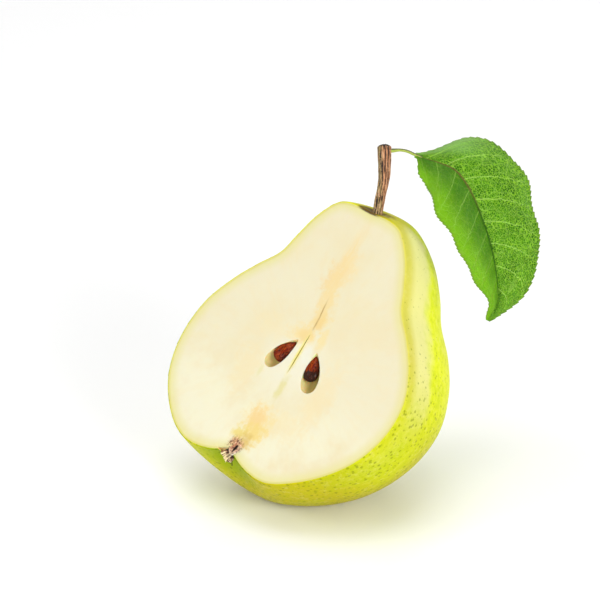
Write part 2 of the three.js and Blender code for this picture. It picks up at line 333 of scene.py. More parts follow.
def bar(sides: int, rings: int) -> Mesh:
    """An upright round bar of radius 1 and height 1, cut into rings.

    Args:
        sides: How many sides it has.
        rings: How many cuts there are along it.

    Returns:
        The new mesh, standing on z = 0.
    """
    mesh = bmesh.new()
    bmesh.ops.create_cone(mesh, cap_ends=True, segments=sides, radius1=1, radius2=1, depth=1)
    bmesh.ops.translate(mesh, verts=mesh.verts[:], vec=(0, 0, 0.5))
    upright = [edge for edge in mesh.edges if abs(edge.verts[0].co.z - edge.verts[1].co.z) > 0.5]
    bmesh.ops.subdivide_edges(mesh, edges=upright, cuts=rings, use_grid_fill=True)
    return mesh


def bend(mesh: Mesh, line: Line) -> None:
    """Bends an upright bar of height 1 along a line, its section square to the line.

    Args:
        mesh: The bar, changed in place.
        line: The line that its axis follows.
    """
    for vert in mesh.verts:
        share = min(max(vert.co.z, 0.0), 1.0)
        up = line.along(share)
        right = Vector((0, 1, 0)).cross(up).normalized()
        away = up.cross(right)
        spare = up * (vert.co.z - share)
        vert.co = line.at(share) + right * vert.co.x + away * vert.co.y + spare


def sheet(columns: int, rows: int, place: Callable[[float, float, float], Vector]) -> Mesh:
    """A closed thin sheet whose two faces are placed by one function.

    Args:
        columns: Squares across.
        rows: Squares along.
        place: Gives the point for across (-1 to 1), along (0 to 1) and face (1 upper, -1 lower).

    Returns:
        The new mesh, with its across, along and face kept in the blade attribute.
    """
    mesh = bmesh.new()
    layer = mesh.verts.layers.float_vector.new(Layer.BLADE.value)
    bmesh.ops.create_grid(mesh, x_segments=columns, y_segments=rows, size=1)
    for vert in mesh.verts:
        vert[layer] = Vector((vert.co.x, (vert.co.y + 1) / 2, 1))
    copied = bmesh.ops.extrude_face_region(mesh, geom=mesh.faces[:], use_keep_orig=True)
    for vert in (item for item in copied["geom"] if isinstance(item, bmesh.types.BMVert)):
        vert[layer] = Vector((vert[layer].x, vert[layer].y, -1))
    for vert in mesh.verts:
        vert.co = place(*vert[layer])
    bmesh.ops.recalc_face_normals(mesh, faces=mesh.faces[:])
    return mesh


def sliced(
    mesh: Mesh, place: Sequence[float], normal: Sequence[float], slack: float
) -> list[bmesh.types.BMVert | bmesh.types.BMEdge]:
    """Takes away all that lies past a plane.

    Args:
        mesh: The mesh, changed in place.
        place: A point of the plane.
        normal: The direction of what goes.
        slack: How near the plane a vertex counts as on it.

    Returns:
        The vertices and edges of the open rim.
    """
    whole = mesh.verts[:] + mesh.edges[:] + mesh.faces[:]
    return bmesh.ops.bisect_plane(
        mesh, geom=whole, dist=slack, plane_co=place, plane_no=normal, clear_outer=True
    )["geom_cut"]


def capped(mesh: Mesh, rim: Sequence[bmesh.types.BMEdge]) -> bmesh.types.BMFace:
    """Closes an open rim with one face."""
    return bmesh.ops.contextual_create(mesh, geom=rim)["faces"][0]


def rounded(mesh: Mesh, face: bmesh.types.BMFace, width: float, segments: int) -> None:
    """Rounds the rim of a face.

    Args:
        mesh: The mesh, changed in place.
        face: The face.
        width: The width of the rounding.
        segments: The number of its steps.
    """
    bmesh.ops.bevel(
        mesh, geom=list(face.edges), offset=width, segments=segments, profile=ROUND_PROFILE,
        affect="EDGES", material=KEEP_MATERIAL,
    )


@contextmanager
def opened(piece: Piece) -> Iterator[Mesh]:
    """Opens a piece's mesh for a change, and writes it back at the end.

    Args:
        piece: The object.

    Yields:
        Its mesh, to change in place.
    """
    mesh = bmesh.new()
    mesh.from_mesh(piece.data)
    yield mesh
    mesh.to_mesh(piece.data)
    mesh.free()


def into(target: Mesh, part: Mesh) -> None:
    """Adds a mesh to another one and frees it.

    Args:
        target: The mesh that grows.
        part: The mesh that is added.
    """
    holder = bpy.data.meshes.new("holder")
    part.to_mesh(holder)
    part.free()
    target.from_mesh(holder)
    bpy.data.meshes.remove(holder)


def as_object(name: str, mesh: Mesh, matrix: Matrix, *materials: Material) -> Piece:
    """Lays a mesh down and links it to the scene as a new object at the origin.

    Args:
        name: The object's name.
        mesh: The mesh in its own frame, freed here.
        matrix: Its own frame's place in the world.
        *materials: Its materials, in the order of its faces' material numbers.

    Returns:
        The new object.
    """
    bmesh.ops.transform(mesh, matrix=matrix, verts=mesh.verts[:])
    data = bpy.data.meshes.new(name)
    mesh.to_mesh(data)
    mesh.free()
    for material in materials:
        data.materials.append(material)
    piece = bpy.data.objects.new(name, data)
    bpy.context.scene.collection.objects.link(piece)
    return piece


def carve(piece: Piece, cutters: Sequence[Piece]) -> None:
    """Cuts closed shapes out of a piece, and removes the shapes.

    Args:
        piece: The object that is cut; its mesh is replaced.
        cutters: The shapes, whose faces keep their material numbers in the cut.
    """
    for cutter in cutters:
        cut = piece.modifiers.new(cutter.name, "BOOLEAN")
        cut.operation = "DIFFERENCE"
        cut.solver = "MANIFOLD"
        cut.object = cutter
    bpy.context.view_layer.update()
    evaluated = piece.evaluated_get(bpy.context.evaluated_depsgraph_get())
    carved = bpy.data.meshes.new_from_object(evaluated)
    carved.name = piece.name
    piece.modifiers.clear()
    piece.data = carved
    for cutter in cutters:
        bpy.data.objects.remove(cutter)


def shade(piece: Piece, crease: float, flat: int | None = None) -> None:
    """Shades a piece smooth, but for edges that are sharper than a crease.

    Args:
        piece: The object to shade.
        crease: The angle in degrees past which an edge stays sharp.
        flat: The material number of faces that stay flat, if there are any.
    """
    with opened(piece) as mesh:
        for face in mesh.faces:
            face.smooth = face.material_index != flat
        for edge in mesh.edges:
            edge.smooth = not edge.is_manifold or edge.calc_face_angle() < math.radians(crease)


def join_frame(piece: Piece, node: str, slot: Slot) -> None:
    """Gives a finished piece its place in the frame, and reports it.

    Args:
        piece: The finished object.
        node: The CAD node that it stands for.
        slot: The record's slot that its finish comes from; not used.
    """
    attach(piece, ROOT)
    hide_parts(node)
    LOG.info("%s: %d faces, for %s", piece.name, len(piece.data.polygons), node)


@dataclass(frozen=True)
class Role:
    """A piece's name, the CAD node that it stands for, its slot, and its crease in degrees."""

    name: str
    node: str
    slot: Slot
    crease: float

    def fill(self, mesh: Mesh, matrix: Matrix, *materials: Material) -> None:
        """Makes the finished piece out of a mesh.

        Args:
            mesh: The mesh in its own frame.
            matrix: That frame's place in the world.
            *materials: Its materials, in the order of its faces' material numbers.
        """
        piece = as_object(self.name, mesh, matrix, *materials)
        shade(piece, self.crease)
        join_frame(piece, self.node, self.slot)


# --- Coats and grains --------------------------------------------------------------------------------
# The measures that a coat of colour can follow.
By = Enum("By", """
    ACROSS DEPTH HEIGHT ALONG FACE OUT LEFT RIM GROOVE TONE CLOUD MOTTLE SPECK GRAIN RAGGED
    FIBRE WANDER STREAK WRINKLE FRINGE FLANK ENDS EYE STEM NOTCH FINE COARSE RIB PHASE GAP
""")
Measures = dict[By, Socket]


@dataclass(frozen=True)
class Ramp:
    """An eased change from start to end, as a measure goes from low to high."""

    by: By
    low: float
    high: float
    start: float = 0.0
    end: float = 1.0


class Coat:
    """A colour that covers those below it by the product of its ramps."""

    def __init__(self, name: str, colour: object, *ramps: Ramp, strength: float = 1.0) -> None:
        """Keeps the coat's values.

        Args:
            name: What it shows, in a word or two.
            colour: A colour or an output.
            *ramps: What it follows.
            strength: Its share where all the ramps are full.
        """
        self.name = name
        self.colour = colour
        self.ramps = ramps
        self.strength = strength


@dataclass(frozen=True)
class Grain:
    """A noise: waves to the millimetre, how fine it goes, and the share of Z kept, which draws it out."""

    by: By
    scale: float
    detail: float = 3.0
    roughness: float = 0.5
    upright: float = 1.0


Coats = tuple[Coat, ...]
Grains = tuple[Grain, ...]
Spots = tuple[tuple[By, Place], ...]


@dataclass(frozen=True)
class Blur:
    """A measure that a noise swings to either side."""

    by: By
    measure: By
    noise: By
    swing: float


@dataclass(frozen=True)
class Relief:
    """A bump: the measure that it follows, its depth in millimetres and its strength."""

    by: By
    depth: float
    strength: float = 1.0


@dataclass(frozen=True)
class Sheen:
    """How light plays under a surface (share, metres, spread of red, green and blue) and on it."""

    under: float = 0.0
    reach: float = 0.05
    spread: Place = (1.0, 0.2, 0.1)
    coat: float = 0.0
    coat_roughness: float = 0.03
    mirror: float = 0.5


# --- Node graphs -------------------------------------------------------------------------------------
class Graph:
    """A material's nodes around one Principled shader, with a short call for each kind used here."""

    def __init__(self, name: str) -> None:
        """Makes an empty material with its shader and output.

        Args:
            name: The material's name.
        """
        self.material = bpy.data.materials.new(name)
        self.material.use_nodes = True
        self._tree = self.material.node_tree
        self._tree.nodes.clear()
        self.shader = self.add("ShaderNodeBsdfPrincipled")
        output = self.add("ShaderNodeOutputMaterial")
        self._tree.links.new(self.shader.outputs["BSDF"], output.inputs["Surface"])

    def add(self, kind: str, *values: object, **settings: object) -> bpy.types.Node:
        """Adds a node.

        Args:
            kind: Blender's name for the kind of node.
            *values: What fills its first sockets, in order: an output or a plain value each.
            **settings: Properties of the node to set.

        Returns:
            The new node.
        """
        node = self._tree.nodes.new(kind)
        for key, value in settings.items():
            setattr(node, key, value)
        for socket, value in zip(node.inputs, values):
            self.put(socket, value)
        return node

    def put(self, socket: Socket, value: object) -> None:
        """Fills a socket.

        Args:
            socket: The input socket.
            value: An output to link it to, or a plain value.
        """
        if isinstance(value, bpy.types.NodeSocket):
            self._tree.links.new(value, socket)
        else:
            socket.default_value = value

    def paint(
        self, colour: Socket, roughness: object, normal: Socket | None = None, sheen: Sheen = Sheen()
    ) -> Material:
        """Ends the graph in the shader.

        Args:
            colour: The base colour.
            roughness: A number or an output.
            normal: The bumped normal, if there is one.
            sheen: How light plays under and on the surface.

        Returns:
            The finished material.
        """
        values = {
            "Base Color": colour,
            "Roughness": roughness,
            "Subsurface Weight": sheen.under,
            "Subsurface Scale": sheen.reach,
            "Subsurface Radius": sheen.spread,
            "Coat Weight": sheen.coat,
            "Coat Roughness": sheen.coat_roughness,
            "Specular IOR Level": sheen.mirror,
        }
        if normal is not None:
            values["Normal"] = normal
        for name, value in values.items():
            self.put(self.shader.inputs[name], value)
        return self.material

    def place(self, matrix: Matrix) -> Socket:
        """Object coordinates in a piece's own frame, in millimetres.

        Args:
            matrix: That frame's place in the world, with the scale to metres.

        Returns:
            The vector output.
        """
        move, turn, _ = matrix.inverted().decompose()
        here = self.add("ShaderNodeTexCoord").outputs["Object"]
        scale = (1 / MM, 1 / MM, 1 / MM)
        mapping = self.add("ShaderNodeMapping", here, move, turn.to_euler("XYZ"), scale, vector_type="POINT")
        return mapping.outputs["Vector"]

    def layer(self, layer: Layer) -> bpy.types.Node:
        """The node that reads a vertex attribute."""
        return self.add("ShaderNodeAttribute", attribute_name=layer.value)

    def apart(self, vector: Socket) -> tuple[Socket, Socket, Socket]:
        """Splits a vector into its three numbers."""
        return tuple(self.add("ShaderNodeSeparateXYZ", vector).outputs)

    def stretched(self, vector: Socket, scale: Place) -> Socket:
        """Scales a vector along each axis."""
        return self.add("ShaderNodeVectorMath", vector, scale, operation="MULTIPLY").outputs[0]

    def joined(self, first: Socket, second: Socket) -> Socket:
        """Joins two numbers into a flat vector."""
        return self.add("ShaderNodeCombineXYZ", first, second).outputs[0]

    def far(self, vector: Socket, centre: Sequence[float]) -> Socket:
        """The distance of a place from a point."""
        return self.add("ShaderNodeVectorMath", vector, centre, operation="DISTANCE").outputs["Value"]

    def sum(self, operation: str, first: object, second: object = 0.0) -> Socket:
        """One step of arithmetic, by Blender's name for it."""
        return self.add("ShaderNodeMath", first, second, operation=operation).outputs[0]

    def plus(self, first: object, second: object) -> Socket:
        """The sum of two numbers."""
        return self.sum("ADD", first, second)

    def minus(self, first: object, second: object) -> Socket:
        """The first number less the second."""
        return self.sum("SUBTRACT", first, second)

    def times(self, first: object, *others: object) -> Socket:
        """The product of some numbers.

        Args:
            first: A number or an output.
            *others: More of them.

        Returns:
            The product.
        """
        for other in others:
            first = self.sum("MULTIPLY", first, other)
        return first

    def hypot(self, first: Socket, second: Socket) -> Socket:
        """The length of the slope over two numbers."""
        return self.sum("SQRT", self.plus(self.times(first, first), self.times(second, second)))

    def swing(self, noise_share: Socket, reach: float) -> Socket:
        """A noise laid about zero, half a reach to either side."""
        return self.times(self.minus(noise_share, HALF), reach)

    def between(self, value: object, low: float, high: float, start: float = 0.0, end: float = 1.0) -> Socket:
        """Eases a value from start, where it is low, to end, where it is high.

        Args:
            value: A number or an output.
            low: Where the change starts.
            high: Where it ends.
            start: The result at low.
            end: The result at high.

        Returns:
            The eased result.
        """
        node = self.add("ShaderNodeMapRange", value, low, high, start, end, interpolation_type="SMOOTHSTEP")
        return node.outputs["Result"]

    def peak(self, value: object, centre: float, width: float) -> Socket:
        """A soft peak that is 1 at the centre and 0 a width away."""
        return self.between(self.sum("ABSOLUTE", self.minus(value, centre)), 0.0, width, 1.0, 0.0)

    def share(self, measures: Measures, *ramps: Ramp) -> Socket:
        """Reads ramps off the measures.

        Args:
            measures: The output for each measure.
            *ramps: The ramps.

        Returns:
            Their product.
        """
        values = [
            self.between(measures[ramp.by], ramp.low, ramp.high, ramp.start, ramp.end) for ramp in ramps
        ]
        return self.times(*values)

    def rough(self, roughness: Ramp | float, measures: Measures) -> object:
        """A roughness as a plain number, or as the output of its ramp."""
        return self.share(measures, roughness) if isinstance(roughness, Ramp) else roughness

    def mix(self, share: object, first: object, second: object) -> Socket:
        """Mixes two colours.

        Args:
            share: How much of the second there is.
            first: A colour or an output.
            second: A colour or an output.

        Returns:
            The mixed colour.
        """
        node = self.add("ShaderNodeMix", share, data_type="RGBA")
        for socket, value in zip(node.inputs[6:8], (first, second)):  # the two colours
            self.put(socket, value)
        return node.outputs[2]

    def coats(self, colour: object, coats: Sequence[Coat], measures: Measures) -> Socket:
        """Lays coats over a colour, one after another.

        Args:
            colour: A colour or an output.
            coats: The coats, the lowest first.
            measures: The output for each measure.

        Returns:
            The colour on top.
        """
        for coat in coats:
            share = self.share(measures, *coat.ramps)
            if coat.strength != 1.0:
                share = self.times(share, coat.strength)
            colour = self.mix(share, colour, coat.colour)
            colour.node.label = coat.name
        return colour

    def noise(self, vector: Socket, grain: Grain) -> Socket:
        """Lays soft noise over a place.

        Args:
            vector: The place.
            grain: The noise's size, fineness and draw.

        Returns:
            The noise, from 0 to 1.
        """
        if grain.upright != 1.0:
            vector = self.stretched(vector, (1.0, 1.0, grain.upright))
        node = self.add("ShaderNodeTexNoise", vector)
        for name, value in (("Scale", grain.scale), ("Detail", grain.detail), ("Roughness", grain.roughness)):
            node.inputs[name].default_value = value
        return node.outputs["Fac"]

    def cells(self, vector: Socket, scale: float, feature: str = "F1") -> bpy.types.Node:
        """Splits a place into cells, a number to the millimetre, for dots or a net.

        Args:
            vector: The place.
            scale: Cells to the millimetre.
            feature: Blender's name for what is measured in a cell.

        Returns:
            The node.
        """
        node = self.add("ShaderNodeTexVoronoi", vector, feature=feature)
        node.inputs["Scale"].default_value = scale
        return node

    def bump(self, height: Socket, relief: Relief, under: Socket | None = None) -> Socket:
        """Tilts the normal by a height.

        Args:
            height: The height, from 0 to 1.
            relief: What a height of 1 stands for, and how strongly it shows.
            under: A normal that this one is laid over.

        Returns:
            The new normal.
        """
        node = self.add("ShaderNodeBump")
        self.put(node.inputs["Height"], height)
        node.inputs["Distance"].default_value = relief.depth * MM
        node.inputs["Strength"].default_value = relief.strength
        if under is not None:
            self.put(node.inputs["Normal"], under)
        return node.outputs["Normal"]


# --- Finishes ----------------------------------------------------------------------------------------
@dataclass(frozen=True)
class Finish:
    """Coats of colour over a ground, each following measures of the place on its piece."""

    name: str = ""
    ground: Colour = srgb(255, 255, 255)
    grains: Grains = ()
    layers: tuple[Layer, ...] = ()
    spots: Spots = ()
    blurs: tuple[Blur, ...] = ()
    coats: Coats = ()
    roughness: Ramp | float = 0.5
    relief: Relief = Relief(By.CLOUD, 0.0)
    sheen: Sheen = Sheen()

    def measures(self, graph: Graph, place: Socket) -> Measures:
        """Finds all that the coats follow.

        Args:
            graph: The material's graph.
            place: The place on the piece.

        Returns:
            The output for each measure.
        """
        found = dict(zip((By.ACROSS, By.DEPTH, By.HEIGHT), graph.apart(place)))
        found |= {grain.by: graph.noise(place, grain) for grain in self.grains}
        found |= {By[layer.name]: graph.layer(layer).outputs["Fac"] for layer in self.layers}
        found |= {by: graph.far(place, spot) for by, spot in self.spots}
        for blur in self.blurs:
            found[blur.by] = graph.plus(found[blur.measure], graph.swing(found[blur.noise], blur.swing))
        return found

    def colour(self, graph: Graph, place: Socket, measures: Measures) -> Socket:
        """Lays all the coats.

        Args:
            graph: The material's graph.
            place: The place on the piece.
            measures: The output for each measure.

        Returns:
            The base colour.
        """
        return graph.coats(self.ground, self.coats, measures)

    def make(self, matrix: Matrix, name: str = "") -> Material:
        """Builds the material.

        Args:
            matrix: The place in the world of the frame that the finish is measured in.
            name: The material's name, if it isn't the finish's own.

        Returns:
            The new material.
        """
        graph = Graph(name or self.name)
        place = graph.place(matrix)
        measures = self.measures(graph, place)
        colour = self.colour(graph, place, measures)
        normal = graph.bump(measures[self.relief.by], self.relief)
        return graph.paint(colour, graph.rough(self.roughness, measures), normal, self.sheen)


@dataclass(frozen=True)
class Dots:
    """Soft dots: cells to the millimetre, the biggest radius as a share of a cell, and their strength."""

    cells: float
    size: float
    share: float


@dataclass(frozen=True)
class SkinFinish(Finish):
    """Waxy yellow-green skin with soft olive dots, russet at the stem and the eye, a painted highlight band
    and some painted light and shade.
    """

    name: str = "pear_skin"
    ground: Colour = srgb(198, 190, 80)
    mottle_and_highlight_colour: Colour = srgb(216, 212, 134)
    shade_colour: Colour = srgb(166, 184, 8)
    bottom_and_shade_colour: Colour = srgb(182, 170, 10)
    dot_colour: Colour = srgb(106, 120, 6)
    grains: Grains = (
        Grain(By.CLOUD, 0.045, 4.0, 0.55), Grain(By.MOTTLE, 0.5, 5.0, 0.65), Grain(By.SPECK, 0.5),
        Grain(By.GRAIN, 1.6, 4.0),
    )
    spots: Spots = (
        (By.EYE, (0.2, 2.0, 0.0)), (By.STEM, (1.6, 3.0, 84.5)), (By.NOTCH, (-1.6, 1.0, 84.8)),
    )
    blurs: tuple[Blur, ...] = (Blur(By.FRINGE, By.DEPTH, By.CLOUD, 16.0),)
    fringe_growth: tuple[Ramp, ...] = (
        Ramp(By.HEIGHT, 82.0, 89.0, 0.0, 12.0), Ramp(By.ACROSS, 4.0, -8.0, 0.0, 12.0),
    )
    coats: Coats = (
        # Painted highlight: the skin turns pale from 1 to 5 mm behind the cut, a band that stands for the
        # sheen along the neck.
        Coat("painted highlight band", mottle_and_highlight_colour, Ramp(By.DEPTH, 1.0, 5.0)),
        # Brighter saturated yellow towards the back of the fruit: partly the skin's own yellow, partly
        # painted light for the glow through the skin at its outline.
        Coat("back", srgb(218, 224, 4), Ramp(By.FRINGE, 9.0, 15.0)),
        Coat("belly", srgb(190, 194, 14), Ramp(By.HEIGHT, 52.0, 28.0, 0.0, 0.9)),
        # Darker and more golden at the bottom and on the underside: partly the ripe colour, partly painted
        # shade where the fruit faces the floor.
        Coat("bottom", bottom_and_shade_colour, Ramp(By.HEIGHT, 20.0, 4.0, 0.0, 0.9), Ramp(By.ACROSS, -14.0, 6.0, 0.3)),
        Coat("underside", bottom_and_shade_colour, Ramp(By.DEPTH, 16.0, 28.0), Ramp(By.HEIGHT, 44.0, 22.0, 0.0, 0.75)),
    )
    mottles: tuple[Ramp, Ramp] = (Ramp(By.CLOUD, 0.5, 0.68, 0.0, 0.3), Ramp(By.MOTTLE, 0.46, 0.68, 0.0, 0.3))
    ripeness: tuple[Ramp, Ramp] = (Ramp(By.FRINGE, 8.0, 14.0, 0.15), Ramp(By.HEIGHT, 52.0, 34.0))
    blush: Coats = (
        Coat("pale mottle", mottle_and_highlight_colour, Ramp(By.MOTTLE, 0.5, 0.3, 0.0, 0.22)),
        Coat("eye", srgb(130, 158, 14), Ramp(By.EYE, 15.0, 4.0, 0.0, 0.8)),
    )
    dots: tuple[Dots, ...] = (Dots(0.6, 0.37, 0.55), Dots(1.0, 0.27, 0.4))
    dot_size: Ramp = Ramp(By.SPECK, 0.0, 0.4, 0.6)
    dot_height: Ramp = Ramp(By.HEIGHT, 70.0, 30.0, 0.5)
    dot_edge: float = 0.16
    ends: Coats = (
        Coat("crown", srgb(202, 194, 0), Ramp(By.STEM, 12.0, 6.0, 0.0, 0.85)),
        Coat("russet", srgb(120, 98, 8), Ramp(By.STEM, 6.2, 2.2), Ramp(By.SPECK, 0.2, 0.56)),
        Coat("notch", srgb(84, 54, 24), Ramp(By.NOTCH, 4.6, 3.0, 0.0, 0.85)),
    )
    roughness: Ramp = Ramp(By.MOTTLE, 0.3, 0.7, 0.36, 0.46)
    relief: Relief = Relief(By.GRAIN, 0.05, 0.5)
    sheen: Sheen = Sheen(0.12, 0.002, (1.0, 0.8, 0.2), 0.03, 0.25, 0.03)

    def measures(self, graph: Graph, place: Socket) -> Measures:
        """Finds all that the coats follow.

        Args:
            graph: The material's graph.
            place: The place on the fruit.

        Returns:
            The output for each measure.
        """
        found = super().measures(graph, place)
        for ramp in self.fringe_growth:
            found[By.FRINGE] = graph.plus(found[By.FRINGE], graph.share(found, ramp))
        return found

    def colour(self, graph: Graph, place: Socket, measures: Measures) -> Socket:
        """Lays the coats, the mottles and the dots.

        Args:
            graph: The material's graph.
            place: The place on the fruit.
            measures: The output for each measure.

        Returns:
            The base colour.
        """
        colour = super().colour(graph, place, measures)
        mottled = graph.plus(*(graph.share(measures, ramp) for ramp in self.mottles))
        ripe = graph.sum("MAXIMUM", *(graph.share(measures, ramp) for ramp in self.ripeness))
        colour = graph.mix(graph.times(mottled, ripe), colour, self.shade_colour)
        colour = graph.coats(colour, self.blush, measures)
        for dots in self.dots:
            colour = graph.mix(self._dots(graph, place, measures, dots), colour, self.dot_colour)
        return graph.coats(colour, self.ends, measures)

    def _dots(self, graph: Graph, place: Socket, measures: Measures, dots: Dots) -> Socket:
        """Soft dots, one to a cell, bigger and more of them low on the belly.

        Args:
            graph: The material's graph.
            place: The place on the fruit.
            measures: The output for each measure.
            dots: The dots' sizes.

        Returns:
            How much of the dots' colour there is.
        """
        node = graph.cells(place, dots.cells)
        random = graph.apart(node.outputs["Color"])[0]
        sizes = graph.share({**measures, By.SPECK: random}, self.dot_size, self.dot_height)
        edge = graph.minus(graph.times(sizes, dots.size), node.outputs["Distance"])
        return graph.between(edge, 0.0, self.dot_edge, 0.0, dots.share)


@dataclass(frozen=True)
class Stain:
    """A soft patch of colour on the knife face, with its [x, z] place and its reach both ways."""

    colour: Colour
    place: tuple[float, float]
    reach: tuple[float, float]
    share: float = 1.0
    ragged: float = 0.5


@dataclass(frozen=True)
class FleshFinish(Finish):
    """Moist cream flesh: yellower by the skin, tan along the core line and its vessels."""

    name: str = "pear_flesh"
    ground: Colour = srgb(209, 202, 172)
    tan_colour: Colour = srgb(214, 192, 137)
    slit_colour: Colour = srgb(180, 158, 71)
    strand_colour: Colour = srgb(162, 129, 64)
    layers: tuple[Layer, ...] = (Layer.RIM,)
    grains: Grains = (
        Grain(By.CLOUD, 0.05, 4.0, 0.6), Grain(By.RAGGED, 0.42, 5.0, 0.6), Grain(By.SPECK, 1.25, 3.0, 0.6),
        Grain(By.GRAIN, 1.4, 5.0, 0.65), Grain(By.FIBRE, 0.9, 4.0, 0.6, 0.16), Grain(By.WANDER, 0.12),
    )
    spots: Spots = (
        (By.STEM, (-0.8, 0.0, 84.6)), (By.EYE, (0.8, 0.0, 2.9)),
    )
    clouds: Coats = (
        Coat("low", srgb(213, 209, 181), Ramp(By.HEIGHT, 36.0, 12.0)),
        Coat("cloud", srgb(209, 199, 164), Ramp(By.CLOUD, 0.42, 0.64)),
    )
    core_place: tuple[float, float] = (3.8, 34.0)
    rays: float = 16.0
    ray_wander: float = 0.12
    ray_grain: Grain = Grain(By.FIBRE, 0.9, 4.0, 0.6)
    ray_strength: Ramp = Ramp(By.FIBRE, 0.45, 0.7, 0.0, 0.13)
    ray_start: Ramp = Ramp(By.OUT, 8.0, 18.0)
    stain_edge: Ramp = Ramp(By.OUT, 1.0, 0.2)
    stains: tuple[Stain, ...] = (
        Stain(srgb(212, 208, 185), (4.0, 33.0), (17.0, 15.0), 0.8, 0.3),
        Stain(srgb(213, 197, 151), (-10.0, 25.0), (7.0, 12.0), 0.6, 0.9),
        Stain(srgb(214, 199, 153), (-9.5, 39.5), (9.0, 5.5), 0.45, 0.9),
        Stain(srgb(214, 197, 151), (18.5, 27.0), (6.5, 15.0), 0.6, 0.9),
        Stain(srgb(214, 199, 155), (12.0, 15.0), (12.0, 6.0), 0.55, 0.9),
        Stain(srgb(214, 193, 133), (1.4, 41.6), (7.0, 4.6), 0.8, 0.8),
        Stain(srgb(213, 186, 120), (2.4, 41.6), (3.6, 3.0), 0.7, 0.5),
        Stain(srgb(214, 191, 126), (4.2, 48.5), (4.4, 9.0), 0.8, 0.9),
        Stain(srgb(213, 184, 114), (4.5, 47.0), (2.4, 5.0), 0.6, 0.7),
        Stain(srgb(210, 210, 196), (6.6, 36.6), (2.4, 5.0), 0.6, 0.6),
        Stain(srgb(214, 195, 135), (8.7, 42.4), (2.2, 6.5), 0.75, 0.8),
        Stain(srgb(213, 195, 147), (3.4, 64.5), (4.2, 8.5), 0.9, 1.0),
        Stain(srgb(212, 189, 137), (0.4, 61.0), (4.2, 8.0), 0.9, 1.0),
        Stain(srgb(213, 193, 139), (2.4, 55.0), (4.4, 7.0), 0.8, 1.0),
        Stain(srgb(205, 199, 151), (-5.3, 26.2), (1.1, 3.0), 0.9, 0.3),
        Stain(srgb(199, 190, 120), (4.6, 24.4), (2.0, 6.0), 0.7, 0.7),
        Stain(srgb(216, 205, 116), (3.7, 35.4), (1.25, 9.5), 1.0, 0.15),
        Stain(srgb(214, 195, 137), (3.6, 12.0), (8.0, 8.0), 0.9, 0.9),
        Stain(srgb(214, 182, 118), (2.9, 13.2), (4.4, 4.8), 0.75, 0.8),
        Stain(srgb(213, 189, 108), (4.4, 8.0), (5.6, 5.6), 0.9, 0.9),
        Stain(srgb(209, 189, 95), (0.2, 6.4), (4.0, 4.0), 0.85, 0.9),
        Stain(srgb(192, 160, 74), (3.0, 5.6), (3.6, 3.6), 0.7, 0.8),
        Stain(srgb(176, 112, 72), (0.7, 2.8), (3.6, 3.8), 1.0, 0.7),
    )
    axis: Ramp = Ramp(By.HEIGHT, 44.0, 62.0, 3.4, 1.5)
    axis_wander: float = 1.6
    fibres: Ramp = Ramp(By.FIBRE, 0.32, 0.62, 0.35)
    upper_width: float = 3.0
    upper_middle: float = 64.0
    upper_reach: float = 26.0
    strand_place: float = 0.3
    strand_width: float = 0.45
    strand_ends: tuple[Ramp, Ramp] = (Ramp(By.HEIGHT, 43.5, 44.5), Ramp(By.HEIGHT, 56.0, 50.0))
    coats: Coats = (
        Coat("rim", srgb(203, 197, 129), Ramp(By.RIM, 4.2, 0.6, 0.0, 0.75)),
        Coat("edge", srgb(196, 189, 97), Ramp(By.RIM, 1.0, 0.0)),
        Coat("stem's foot", srgb(74, 42, 18), Ramp(By.STEM, 5.2, 2.4), Ramp(By.RIM, 0.6, 0.2)),
        Coat("dark tissue", srgb(84, 34, 14), Ramp(By.EYE, 3.7, 1.7), Ramp(By.SPECK, 0.5, 0.6)),
        Coat("pale tissue", srgb(226, 176, 146), Ramp(By.EYE, 3.7, 1.7), Ramp(By.SPECK, 0.44, 0.36)),
        Coat("grain", tan_colour, Ramp(By.GRAIN, 0.5, 0.8, 0.0, 0.12)),
    )
    torn: Coats = (Coat("torn end", srgb(100, 56, 25), Ramp(By.HEIGHT, 38.6, 40.2)),)
    slit_wall: Ramp = Ramp(By.DEPTH, 0.05, 0.3)
    roughness: Ramp = Ramp(By.GRAIN, 0.3, 0.7, 0.4, 0.52)
    relief: Relief = Relief(By.GRAIN, 0.06, 0.5)
    sheen: Sheen = Sheen(0.35, 0.003, (1.0, 0.75, 0.4), 0.12, 0.3)

    def colour(self, graph: Graph, place: Socket, measures: Measures) -> Socket:
        """Lays the clouds, rays, stains and vessels, and then the coats by the rim, the eye and the slit.

        Args:
            graph: The material's graph.
            place: The place on the fruit.
            measures: The output for each measure.

        Returns:
            The base colour.
        """
        colour = graph.coats(self.ground, self.clouds, measures)
        colour = graph.mix(self._rays(graph, measures), colour, self.tan_colour)
        for stain in self.stains:
            colour = graph.mix(self._stain(graph, stain, measures), colour, stain.colour)
        colour = self._vessels(graph, measures, colour)
        colour = graph.coats(colour, self.coats, measures)
        torn = graph.coats(self.slit_colour, self.torn, measures)
        return graph.mix(graph.share(measures, self.slit_wall), colour, torn)

    def _rays(self, graph: Graph, measures: Measures) -> Socket:
        """Faint rays that run outwards from the core.

        Args:
            graph: The material's graph.
            measures: The output for each measure.

        Returns:
            How much of a ray there is.
        """
        right = graph.minus(measures[By.ACROSS], self.core_place[0])
        up = graph.minus(measures[By.HEIGHT], self.core_place[1])
        out = graph.hypot(right, up)
        turn = graph.times(graph.sum("ARCTAN2", right, up), self.rays)
        fan = graph.noise(graph.joined(turn, graph.times(out, self.ray_wander)), self.ray_grain)
        return graph.share({By.FIBRE: fan, By.OUT: out}, self.ray_strength, self.ray_start)

